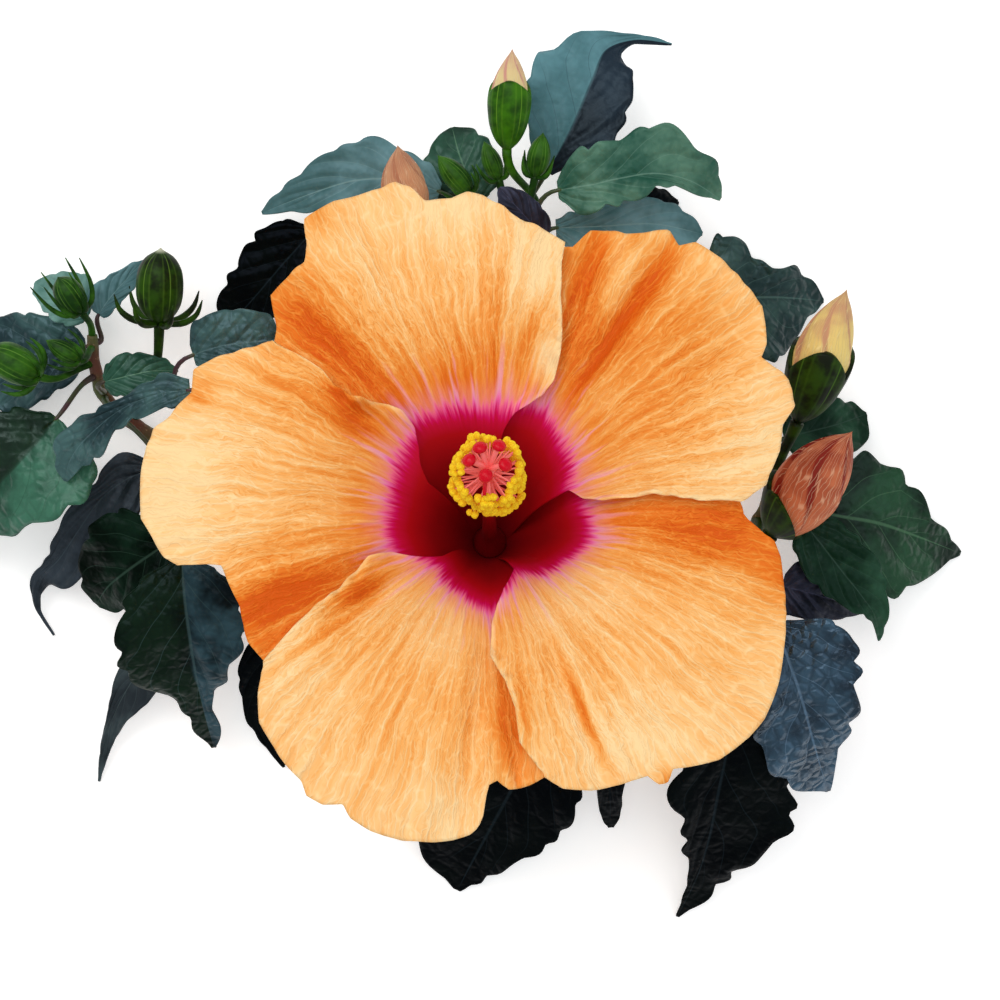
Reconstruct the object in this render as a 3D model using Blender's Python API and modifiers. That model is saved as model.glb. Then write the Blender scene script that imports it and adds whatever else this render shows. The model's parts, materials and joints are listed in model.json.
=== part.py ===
"""A cut flowering branch of hibiscus, lying with its bloom facing up.

The main stem lies on the ground and ends at a flat cut. Two side shoots leave it, and
buds and toothed leaves stand on all three. The bloom has five petals, each lying over
the next one clockwise, round a long column that carries the stamens and five stigmas.

Every place is given in millimetres in the branch's own layout: +Y runs up the stem and
+Z away from the ground. The whole branch is centred on the origin at the end.
"""

import math

import bmesh
import bpy
from mathutils import Matrix, Vector

MM = 0.001

# ---------------------------------------------------------------- driving dimensions
JOINT_GAP = 0.3  # a petiole, pedicel or shoot stops this far from the stem that carries it

BLOOM_AT = (-2.4, -10.0, 22.0)  # where the petals' claws start
BLOOM_LEAN = 12.0  # degrees from straight up, towards +Y
CLAW_RADIUS = 4.0  # of the ring of claws round the column
BLOOM_DEPTH = 52.0  # from the claws up to the flat face
FUNNEL_LENGTH = 13.0  # how slowly the funnel opens
RIM_DROP = 3.5  # how far the petals' rims bend back
PETAL_THICKNESS = 0.8
PETAL_STEP = 2.2  # how far a petal's clockwise edge stands above its middle

LEAF_THICKNESS = 0.9
PETIOLE_HALF_WIDTH = 0.8


# ------------------------------------------------------------------------- materials
def finish(name, colour, roughness):
    """A plain Principled material."""
    made = bpy.data.materials.new(name)
    made.use_nodes = True
    shader = made.node_tree.nodes["Principled BSDF"]
    shader.inputs["Base Color"].default_value = (*colour, 1.0)
    shader.inputs["Roughness"].default_value = roughness
    shader.inputs["Metallic"].default_value = 0.0
    return made


# --------------------------------------------------------------------------- helpers
def clear_scene():
    for obj in list(bpy.data.objects):
        bpy.data.objects.remove(obj, do_unlink=True)


def branch_collection():
    made = bpy.data.collections.new("hibiscus_branch")
    bpy.context.scene.collection.children.link(made)
    return made


def add_object(name, data, material):
    """Links a new object for a mesh or a curve, with its material."""
    obj = bpy.data.objects.new(name, data)
    data.materials.append(material)
    PLANT.objects.link(obj)
    return obj


def smooth_step(low, high, value):
    share = min(1.0, max(0.0, (value - low) / (high - low)))
    return share * share * (3.0 - 2.0 * share)


def along(values, share):
    """The value at a share from 0 to 1 of an evenly spaced list, rounded like a spline."""
    place = min(max(share, 0.0), 1.0) * (len(values) - 1)
    start = min(int(place), len(values) - 2)
    t = place - start
    a = values[max(start - 1, 0)]
    b = values[start]
    c = values[start + 1]
    d = values[min(start + 2, len(values) - 1)]
    return b + 0.5 * t * ((c - a) + t * ((2 * a - 5 * b + 4 * c - d) + t * (3 * (b - c) + d - a)))


def smooth_line(points, count):
    """count + 1 points, evenly spaced by parameter, on the curve through the given ones."""
    vectors = [Vector(p) for p in points]
    return [along(vectors, i / count) for i in range(count + 1)]


def stalk_line(start, out, end, ahead, count):
    """count points that leave start square off its bark and arrive at end along ahead."""
    first = start + out * 0.8
    pull = (end - first).length * 0.38
    leave = first + out * pull
    arrive = end - ahead * pull
    line = [start]
    for i in range(count - 1):
        t = i / (count - 2)
        u = 1.0 - t
        line.append(first * u**3 + leave * (3 * u * u * t) + arrive * (3 * u * t * t) + end * t**3)
    return line


def tube(name, points, radii, material, resolution=2):
    """A round tube along points, tapering through radii, as a closed mesh object."""
    curve = bpy.data.curves.new(name, "CURVE")
    curve.dimensions = "3D"
    curve.bevel_depth = MM
    curve.bevel_resolution = resolution
    curve.use_fill_caps = True
    spline = curve.splines.new("POLY")
    spline.points.add(len(points) - 1)
    for i, (knot, point) in enumerate(zip(spline.points, points)):
        knot.co = (*(Vector(point) * MM), 1.0)
        knot.radius = along(radii, i / (len(points) - 1))
    return as_mesh(add_object(name, curve, material), material)


def as_mesh(curve_object, material):
    """Turns a curve object into a mesh object with its caps welded."""
    graph = bpy.context.evaluated_depsgraph_get()
    mesh = bpy.data.meshes.new_from_object(curve_object.evaluated_get(graph))
    build = bmesh.new()
    build.from_mesh(mesh)
    bmesh.ops.remove_doubles(build, verts=build.verts, dist=0.00001)
    build.to_mesh(mesh)
    build.free()
    name = curve_object.name
    matrix = curve_object.matrix_world.copy()
    bpy.data.objects.remove(curve_object, do_unlink=True)
    mesh.materials.clear()
    made = add_object(name, mesh, material)
    made.matrix_world = matrix
    return made


def apply_modifiers(obj):
    """Makes the evaluated shape the object's own mesh."""
    graph = bpy.context.evaluated_depsgraph_get()
    mesh = bpy.data.meshes.new_from_object(obj.evaluated_get(graph))
    obj.modifiers.clear()
    obj.data = mesh


def fuse(name, first, others):
    """Joins overlapping mesh objects into one solid by one Boolean union."""
    group = bpy.data.collections.new(name + "_pieces")
    bpy.context.scene.collection.children.link(group)
    for piece in others:
        group.objects.link(piece)
    union = first.modifiers.new("union", "BOOLEAN")
    union.operation = "UNION"
    union.operand_type = "COLLECTION"
    union.collection = group
    union.solver = "EXACT"
    apply_modifiers(first)
    for piece in others:
        bpy.data.objects.remove(piece, do_unlink=True)
    bpy.data.collections.remove(group)
    first.name = name
    return first


def solidify(obj, thickness):
    """Gives an open surface its thickness, half to each side."""
    wall = obj.modifiers.new("thickness", "SOLIDIFY")
    wall.thickness = thickness * MM
    wall.offset = 0.0


def shade_round(obj):
    obj.data.shade_smooth()
    obj.data.set_sharp_from_angle(angle=math.radians(40))


def frame_towards(origin, direction):
    """A matrix that puts +Z along direction, at origin (in millimetres)."""
    turn = Vector(direction).normalized().to_track_quat("Z", "Y")
    return Matrix.Translation(Vector(origin) * MM) @ turn.to_matrix().to_4x4()


# ----------------------------------------------------------------------------- stems
class Stem:
    """A woody tapering limb: its centre line and its radius from end to end."""

    def __init__(self, name, line, radii):
        self.name = name
        self.line = line
        self.radii = radii

    def place(self, share):
        """Centre, direction and radius at a share of the length."""
        spot = share * (len(self.line) - 1)
        start = min(int(spot), len(self.line) - 2)
        low = self.line[start]
        high = self.line[start + 1]
        centre = low.lerp(high, spot - start)
        return centre, (high - low).normalized(), along(self.radii, share)

    def seat(self, share, towards):
        """A point just off the bark on the side that faces towards, and the way out."""
        centre, axis, radius = self.place(share)
        out = Vector(towards) - centre
        out = (out - axis * out.dot(axis)).normalized()
        return centre + out * (radius + JOINT_GAP), out

    def end_seat(self):
        """A point just off the stem's far end, and the way out of it."""
        ahead = (self.line[-1] - self.line[-2]).normalized()
        return self.line[-1] + ahead * JOINT_GAP, ahead

    def build(self, material):
        shade_round(tube(self.name, self.line, self.radii, material))


CUT_END = (6.0, -66.0, 4.0)  # the flat cut faces square along -Y
MAIN_STEM_POINTS = (
    (6.0, -61.0, 4.0),
    (3.5, -42.0, 4.1),
    (-2.5, -14.0, 4.4),
    (-3.0, 18.0, 6.0),
    (3.5, 46.0, 9.5),
    (8.5, 66.0, 15.5),
)
MAIN_STEM_RADII = (4.0, 3.9, 3.6, 3.1, 2.6, 2.0)
LEFT_SHOOT_POINTS = (
    (-32.0, -13.0, 7.0),
    (-60.0, 1.0, 8.0),
    (-83.0, 15.0, 10.0),
    (-95.0, 25.0, 13.5),
    (-96.5, 39.0, 19.0),
)
LEFT_SHOOT_RADII = (2.4, 2.2, 2.0, 1.8, 1.6, 1.3)
RIGHT_SHOOT_POINTS = (
    (24.0, -13.0, 8.0),
    (48.0, -13.0, 10.0),
    (61.0, -6.0, 14.0),
    (65.0, 6.0, 19.0),
)
RIGHT_SHOOT_RADII = (2.3, 2.1, 1.9, 1.7, 1.4)


def side_shoot(name, parent, share, points, radii):
    """A shoot that starts square off its parent's bark and follows points."""
    start, out = parent.seat(share, points[0])
    first = Vector(points[0])
    ahead = (Vector(points[1]) - first).normalized()
    return Stem(name, stalk_line(start, out, first, ahead, 6)[:-1] + smooth_line(points, 9), radii)


# ---------------------------------------------------------------------------- petals
# Each petal: the compass of its middle (degrees, anticlockwise from +X), how far its
# rim reaches from the axis at nine even steps from its anticlockwise to its clockwise
# edge, and the half angle of its clockwise edge at even steps of radius from the claw.
PETALS = {
    "petal_top": (107, (58, 67, 69, 76, 75, 69, 68, 62, 58), (27, 24, 41, 42, 36, 33)),
    "petal_upper_right": (36, (58, 67, 72, 74, 74, 69, 70, 64, 58), (27, 22, 35, 35, 37, 33)),
    "petal_lower_right": (319, (54, 64, 68, 73, 75, 72, 68, 65, 58), (27, 25, 46, 46, 42, 38)),
    "petal_bottom": (246, (60, 62, 72, 75, 73, 74, 70, 67, 59), (27, 24, 39, 34, 32, 29)),
    "petal_left": (177, (59, 59, 60, 73, 75, 73, 69, 66, 58), (27, 24, 43, 34, 35, 33)),
}
HIDDEN_EDGE = (29, 42, 48, 45, 43, 38)  # half angle of every anticlockwise edge
EDGE_REACH = 60.0  # radius at which the edge lists end
PETAL_ROWS = 10
PETAL_COLUMNS = 10
RUFFLES = ((9, 0.5, 1.3), (14, 2.1, 0.8))  # waves round the rim, phase, height


def funnel_height(radius):
    """How high the petals stand above their claws, at a radius from the axis."""
    rise = BLOOM_DEPTH * (1.0 - math.exp(-(radius - CLAW_RADIUS) / FUNNEL_LENGTH))
    return rise - RIM_DROP * smooth_step(45.0, 80.0, radius)


def ruffle(radius, angle):
    """The rim's waves, which all petals share so that no two of them cross."""
    share = smooth_step(25.0, 75.0, radius)
    return share * sum(high * math.sin(count * angle + phase) for count, phase, high in RUFFLES)


def petal_point(compass, rim, clockwise_edge, across, out):
    """A point of a petal's middle surface. across runs from -1, anticlockwise, to 1."""
    reach = along(rim, (across + 1.0) / 2.0)
    radius = CLAW_RADIUS + (reach - CLAW_RADIUS) * out**1.6
    edge = clockwise_edge if across > 0 else HIDDEN_EDGE
    half = along(edge, (radius - CLAW_RADIUS) / (EDGE_REACH - CLAW_RADIUS))
    angle = math.radians(compass - across * half)
    height = funnel_height(radius) + ruffle(radius, angle)
    slope = math.atan2(funnel_height(radius + 0.5) - funnel_height(radius), 0.5)
    lift = across * PETAL_STEP * smooth_step(7.0, 16.0, radius)
    radius -= lift * math.sin(slope)
    height += lift * math.cos(slope)
    return Vector((radius * math.cos(angle), radius * math.sin(angle), height))


def build_petal(name, compass, rim, clockwise_edge, parent, material):
    """A grid bent into the petal's funnel and fan, then thickened."""
    build = bmesh.new()
    bmesh.ops.create_grid(build, x_segments=PETAL_COLUMNS, y_segments=PETAL_ROWS, size=1.0)
    for vertex in build.verts:
        across, out = -vertex.co.x, (vertex.co.y + 1.0) / 2.0
        vertex.co = petal_point(compass, rim, clockwise_edge, across, out) * MM
    mesh = bpy.data.meshes.new(name)
    build.to_mesh(mesh)
    build.free()
    petal = add_object(name, mesh, material)
    petal.parent = parent
    solidify(petal, PETAL_THICKNESS)
    mesh.shade_smooth()


# ---------------------------------------------------------------- column and stamens
COLUMN_FOOT = -1.45
COLUMN_TOP = 72.0
COLUMN_RADII = (2.3, 1.7, 1.5, 1.4, 1.5)
STAMEN_ROWS = 4
STAMENS_IN_A_ROW = 9
STAMEN_LOW = 56.0
STAMEN_HIGH = 69.0
FILAMENT_LENGTH = 5.4
ANTHER_RADIUS = 1.25
STYLE_SPREAD = 4.0
STYLE_RISE = 5.0
STIGMA_RADIUS = 1.5
STIGMA_COMPASS = 18.0


def ball(name, centre, radius, material):
    """A small twenty-sided ball."""
    build = bmesh.new()
    place = Matrix.Translation(Vector(centre) * MM)
    bmesh.ops.create_icosphere(build, subdivisions=1, radius=radius * MM, matrix=place)
    mesh = bpy.data.meshes.new(name)
    build.to_mesh(mesh)
    build.free()
    return add_object(name, mesh, material)


def build_column(parent, material):
    """The staminal column with its anthers on filaments and the five stigmas."""
    line = [(0.0, 0.0, COLUMN_FOOT + (COLUMN_TOP - COLUMN_FOOT) * i / 6) for i in range(7)]
    column = tube("column_core", line, COLUMN_RADII, material)
    pieces = []
    for row in range(STAMEN_ROWS):
        low = STAMEN_LOW + (STAMEN_HIGH - STAMEN_LOW) * row / (STAMEN_ROWS - 1)
        for i in range(STAMENS_IN_A_ROW):
            angle = 2.0 * math.pi * (i + 0.5 * (row % 2)) / STAMENS_IN_A_ROW
            out = Vector((math.cos(angle), math.sin(angle), 0.25))
            root = Vector((0.0, 0.0, low)) + out * 0.8
            tip = root + out * FILAMENT_LENGTH
            pieces.append(tube("filament", (root, tip), (0.45, 0.35), material, 0))
            pieces.append(ball("anther", tip, ANTHER_RADIUS, material))
    for i in range(5):
        angle = math.radians(STIGMA_COMPASS + 72.0 * i)
        out = Vector((math.cos(angle), math.sin(angle), 0.0)) * STYLE_SPREAD
        root = Vector((0.0, 0.0, COLUMN_TOP - 2.0))
        tip = root + out + Vector((0.0, 0.0, STYLE_RISE + 2.0))
        pieces.append(tube("style", (root, tip), (0.7, 0.6), material, 0))
        pieces.append(ball("stigma", tip, STIGMA_RADIUS, material))
    column = fuse("column", column, pieces)
    column.parent = parent
    shade_round(column)


# --------------------------------------------------------------------- bloom's calyx
CALYX_LOBES = 5
CALYX_LOW_RADIUS = 5.2
CALYX_FLARE = 0.34  # how much the radius grows with height
CALYX_CUP_HEIGHT = 12.0
CALYX_LOBE_HEIGHT = 10.0
CALYX_THICKNESS = 0.8
CALYX_FLOOR = -2.2
BRACTS = 7
BRACT_REACH = 12.0


def calyx_point(angle, share):
    """A point of the cup's wall: share runs from the floor's middle, 0, to the lobes, 1."""
    lobe = abs(math.cos(angle * CALYX_LOBES / 2.0)) ** 1.5
    if share < 0.25:
        radius = CALYX_LOW_RADIUS * share / 0.25
        height = CALYX_FLOOR
    else:
        up = (share - 0.25) / 0.75
        height = CALYX_FLOOR + up * (CALYX_CUP_HEIGHT + CALYX_LOBE_HEIGHT * lobe)
        radius = CALYX_LOW_RADIUS + CALYX_FLARE * (height - CALYX_FLOOR)
    return Vector((radius * math.cos(angle), radius * math.sin(angle), height))


def bract_line(angle, root_radius, root_height, reach):
    """The curve of one narrow bract of the outer calyx, spreading and rising."""
    steps = ((0.0, 0.0), (0.55, 0.05), (1.0, 0.45))
    return [
        Vector(
            (
                (root_radius + reach * out) * math.cos(angle),
                (root_radius + reach * out) * math.sin(angle),
                root_height + reach * up,
            )
        )
        for out, up in steps
    ]


def build_bloom_calyx(parent, material):
    """The five-lobed cup under the petals, with the ring of bracts fused to its foot."""
    build = bmesh.new()
    bmesh.ops.create_uvsphere(build, u_segments=20, v_segments=12, radius=1.0)
    upper = [v for v in build.verts if v.co.z > 0.01]
    bmesh.ops.delete(build, geom=upper, context="VERTS")
    for vertex in build.verts:
        angle = math.atan2(vertex.co.y, vertex.co.x)
        share = 1.0 - math.asin(min(1.0, -vertex.co.z)) / (math.pi / 2.0)
        vertex.co = calyx_point(angle, share) * MM
    mesh = bpy.data.meshes.new("bloom_calyx")
    build.to_mesh(mesh)
    build.free()
    cup = add_object("calyx_cup", mesh, material)
    solidify(cup, CALYX_THICKNESS)
    apply_modifiers(cup)
    bracts = []
    for i in range(BRACTS):
        line = bract_line(2.0 * math.pi * (i + 0.5) / BRACTS, 3.3, CALYX_FLOOR - 0.5, BRACT_REACH)
        bracts.append(tube("bract", smooth_line(line, 4), (0.9, 0.8, 0.25), material, 1))
    calyx = fuse("bloom_calyx", cup, bracts)
    calyx.parent = parent


BLOOM_PEDICEL_SHARE = 0.24


def build_bloom_pedicel(stem, axis_frame, material):
    """The stalk that leaves the main stem and turns up into the foot of the calyx."""
    low = CALYX_FLOOR - CALYX_THICKNESS / 2 - JOINT_GAP
    foot = (axis_frame @ Vector((0.0, 0.0, low * MM))) / MM
    ahead = axis_frame.to_3x3() @ Vector((0.0, 0.0, 1.0))
    start, out = stem.seat(BLOOM_PEDICEL_SHARE, stem.place(BLOOM_PEDICEL_SHARE)[0] + ahead)
    line = stalk_line(start, out, foot - ahead * 0.8, ahead, 9) + [foot]
    shade_round(tube("bloom_pedicel", line, (1.6, 1.6, 1.8, 2.2), material))


# ------------------------------------------------------------------------------ buds
END = 1.0  # the share of a stem's far end
BUD_FULLNESS = 0.82  # under 1 puts a bud's fullest part below its middle
BUD_SLEEVE = 1.14  # the calyx's radius over that of the petals that it wraps


class Bud:
    """A bud: the stem and share it stands on, its foot, its tip, its calyx's radius, how
    much of its length the calyx covers, its number of bracts and their reach."""

    def __init__(self, stem, share, foot, tip, radius, cover, bracts, reach=0.0):
        self.stem = stem
        self.share = share
        self.foot = Vector(foot)
        self.tip = Vector(tip)
        self.radius = radius
        self.cover = cover
        self.bracts = bracts
        self.reach = reach


def spindle(name, length, radius, cover, material, segments=10):
    """A closed spindle along +Z, pointed on top, or cut off flat at the share cover."""
    build = bmesh.new()
    bmesh.ops.create_uvsphere(build, u_segments=segments, v_segments=8, radius=1.0)
    for vertex in build.verts:
        share = math.acos(max(-1.0, min(1.0, -vertex.co.z))) / math.pi
        angle = math.atan2(vertex.co.y, vertex.co.x)
        if cover < 1.0:
            share *= cover / 0.75
        wide = radius * math.sin(math.pi * min(share, cover) ** BUD_FULLNESS)
        if share > cover:
            wide *= (cover / 0.75 - share) / (cover / 0.75 - cover)
        wide = 0.0 if abs(vertex.co.z) > 0.999 else max(wide, 0.12)
        height = length * min(share, cover)
        vertex.co = Vector((wide * math.cos(angle), wide * math.sin(angle), height)) * MM
    mesh = bpy.data.meshes.new(name)
    build.to_mesh(mesh)
    build.free()
    return add_object(name, mesh, material)


def build_bud(name, bud, material):
    """Calyx, petal cone, bracts and pedicel, fused to one solid."""
    length = (bud.tip - bud.foot).length
    frame = frame_towards(bud.foot, bud.tip - bud.foot)
    calyx = spindle(name + "_calyx", length, bud.radius, bud.cover, material)
    calyx.matrix_world = frame
    others = []
    if bud.cover < 1.0:
        cone = spindle(name + "_cone", length, bud.radius / BUD_SLEEVE, 1.0, material)
        cone.matrix_world = frame
        others.append(cone)
    for i in range(bud.bracts):
        angle = 2.0 * math.pi * (i + 0.5) / bud.bracts
        line = bract_line(angle, bud.radius * 0.18, 0.8, bud.reach)
        bract = tube(name + "_bract", smooth_line(line, 3), (0.7, 0.6, 0.25), material, 0)
        bract.matrix_world = frame
        others.append(bract)
    axis = (bud.tip - bud.foot).normalized()
    start, out = bud.stem.end_seat() if bud.share == END else bud.stem.seat(bud.share, bud.foot)
    stalk = stalk_line(start, out, bud.foot + axis * 1.3, axis, 7)
    width = max(0.8, bud.radius * 0.19)
    others.append(tube(name + "_stalk", stalk, (width, width, width * 1.2), material, 1))
    made = fuse(name, calyx, others)
    shade_round(made)


# ---------------------------------------------------------------------------- leaves
BLADE_ROWS = 9
PETIOLE_ROWS = 4
SMALL_LEAF = 17.5  # a blade under this width has a simpler grid
TOOTH = 0.07  # a tooth's height as a share of the half width


class Leaf:
    """A leaf: the stem and share it grows from, its midrib from base to tip, its half
    widths at nine even steps of the midrib, to its left and to its right, and the angles
    (degrees) by which its left side is raised and both sides are folded up."""

    def __init__(self, stem, share, rib, left, right, turn=0.0, fold=8.0):
        self.stem = stem
        self.share = share
        self.rib = rib
        self.left = left
        self.right = right
        self.turn = turn
        self.fold = fold

    def petiole(self):
        """The stalk's centre line, square off the bark and in line with the midrib."""
        base = Vector(self.rib[0])
        ahead = (Vector(self.rib[1]) - base).normalized()
        start, out = self.stem.seat(self.share, base)
        return stalk_line(start, out, base, ahead, PETIOLE_ROWS + 1)[:-1]

    def stations(self):
        """Centre points with their half widths: the petiole's, then the blade's."""
        found = [(point, PETIOLE_HALF_WIDTH, PETIOLE_HALF_WIDTH) for point in self.petiole()]
        for i, point in enumerate(smooth_line(self.rib, BLADE_ROWS)):
            share = i / BLADE_ROWS
            tooth = 1.0 + TOOTH * (1 if i % 2 else -1) * (0 < i < BLADE_ROWS)
            left = max(along(self.left, share) * tooth, PETIOLE_HALF_WIDTH * 0.5)
            right = max(along(self.right, share) * tooth, PETIOLE_HALF_WIDTH * 0.5)
            found.append((point, left, right))
        return found


def row_frames(points):
    """Each row's way to its left and its normal: level on the blade, carried down the stalk."""
    ahead = [(points[1] - points[0]).normalized()]
    ahead += [(after - before).normalized() for before, after in zip(points, points[2:])]
    ahead.append((points[-1] - points[-2]).normalized())
    sides = [Vector((0.0, 0.0, 1.0)).cross(way).normalized() for way in ahead]
    for row in reversed(range(PETIOLE_ROWS)):
        carried = sides[row + 1]
        sides[row] = (carried - ahead[row] * carried.dot(ahead[row])).normalized()
    return [(side, way.cross(side)) for side, way in zip(sides, ahead)]


def build_leaf(name, leaf, material):
    """A grid laid along petiole and midrib, spread to the outline, then thickened."""
    stations = leaf.stations()
    frames = row_frames([station[0] for station in stations])
    build = bmesh.new()
    rows = len(stations) - 1
    columns = 4 if max(leaf.left) + max(leaf.right) > SMALL_LEAF else 2
    bmesh.ops.create_grid(build, x_segments=columns, y_segments=rows, size=1.0)
    for vertex in build.verts:
        row = round((vertex.co.y + 1.0) / 2.0 * rows)
        across = -vertex.co.x
        point, left, right = stations[row]
        side, normal = frames[row]
        blade = smooth_step(PETIOLE_ROWS - 1, PETIOLE_ROWS + 2, row)
        angle = math.radians(leaf.turn * blade + math.copysign(leaf.fold * blade, across))
        wide = left * across if across > 0 else right * across
        vertex.co = (point + side * wide * math.cos(angle) + normal * wide * math.sin(angle)) * MM
    mesh = bpy.data.meshes.new(name)
    build.to_mesh(mesh)
    build.free()
    made = add_object(name, mesh, material)
    solidify(made, LEAF_THICKNESS)
    mesh.shade_smooth()


# -------------------------------------------------------------------------- assembly
def seat_on_ground():
    """Centres the branch on the origin, over the ground plane z = 0."""
    branch = bpy.data.objects.new("branch", None)
    PLANT.objects.link(branch)
    graph = bpy.context.evaluated_depsgraph_get()
    corners = []
    for obj in PLANT.objects:
        if obj.type == "MESH":
            seen = obj.evaluated_get(graph)
            corners += [seen.matrix_world @ vertex.co for vertex in seen.data.vertices]
        if obj.parent is None and obj is not branch:
            obj.parent = branch
    low = [min(corner[i] for corner in corners) for i in range(3)]
    high = [max(corner[i] for corner in corners) for i in range(3)]
    branch.location = (-(low[0] + high[0]) / 2.0, -(low[1] + high[1]) / 2.0, -low[2])
    bpy.context.view_layer.update()


clear_scene()
PLANT = branch_collection()

BARK = finish("bark", (0.16, 0.13, 0.06), 0.75)
GREEN = finish("bud_green", (0.10, 0.22, 0.02), 0.5)
LEAF_GREEN = finish("leaf_green", (0.02, 0.07, 0.035), 0.4)
ORANGE = finish("petal_orange", (0.93, 0.38, 0.08), 0.6)
YELLOW = finish("stamen_yellow", (0.90, 0.55, 0.02), 0.6)

MAIN = Stem("main_stem", [Vector(CUT_END), *smooth_line(MAIN_STEM_POINTS, 17)], MAIN_STEM_RADII)
LEFT = side_shoot("left_shoot", MAIN, 0.34, LEFT_SHOOT_POINTS, LEFT_SHOOT_RADII)
RIGHT = side_shoot("right_shoot", MAIN, 0.42, RIGHT_SHOOT_POINTS, RIGHT_SHOOT_RADII)
for stem in (MAIN, LEFT, RIGHT):
    stem.build(BARK)

BLOOM_AXIS = bpy.data.objects.new("bloom_axis", None)
PLANT.objects.link(BLOOM_AXIS)
BLOOM_AXIS.location = Vector(BLOOM_AT) * MM
BLOOM_AXIS.rotation_euler = (math.radians(-BLOOM_LEAN), 0.0, 0.0)
bpy.context.view_layer.update()

for petal_name, (petal_compass, petal_rim, petal_edge) in PETALS.items():
    build_petal(petal_name, petal_compass, petal_rim, petal_edge, BLOOM_AXIS, ORANGE)
build_column(BLOOM_AXIS, YELLOW)
build_bloom_calyx(BLOOM_AXIS, GREEN)
build_bloom_pedicel(MAIN, BLOOM_AXIS.matrix_world, GREEN)

BUDS = {
    "bud_top": Bud(MAIN, END, (1.5, 80.0, 31.0), (2.8, 104.0, 39.0), 4.9, 0.68, 0),
    "bud_top_small_left": Bud(MAIN, 0.93, (-6.5, 71.0, 26.0), (-14.5, 80.0, 30.0), 2.8, 1.0, 5, 4.0),
    "bud_top_small_middle": Bud(MAIN, 0.965, (0.0, 74.5, 22.5), (-3.8, 84.0, 25.5), 2.2, 1.0, 4, 4.0),
    "bud_top_small_right": Bud(MAIN, 0.98, (8.0, 74.5, 28.0), (10.0, 85.0, 32.0), 2.6, 1.0, 4, 4.0),
    "bud_under_petal": Bud(MAIN, 0.78, (-20.5, 61.0, 33.0), (-23.3, 80.8, 40.0), 5.6, 0.6, 0),
    "bud_left": Bud(LEFT, 0.74, (-80.2, 40.8, 22.0), (-79.0, 58.8, 28.0), 5.5, 1.0, 6, 8.0),
    "bud_left_small": Bud(LEFT, END, (-97.6, 43.4, 25.0), (-102.6, 51.8, 30.0), 3.6, 1.0, 6, 6.5),
    "bud_left_young": Bud(LEFT, 0.965, (-97.6, 32.3, 25.0), (-105.9, 37.3, 27.5), 2.4, 1.0, 4, 4.2),
    "bud_left_far": Bud(LEFT, 0.92, (-107.0, 28.5, 26.0), (-119.0, 35.0, 30.0), 4.4, 1.0, 6, 6.0),
    "bud_right_upper": Bud(RIGHT, END, (69.0, 17.0, 26.0), (79.3, 48.2, 38.0), 7.2, 0.6, 0),
    "bud_right_lower": Bud(RIGHT, 0.80, (61.5, -9.0, 33.0), (79.5, 15.5, 45.0), 8.6, 0.45, 0),
}
for bud_name, bud in BUDS.items():
    build_bud(bud_name, bud, GREEN)

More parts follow.
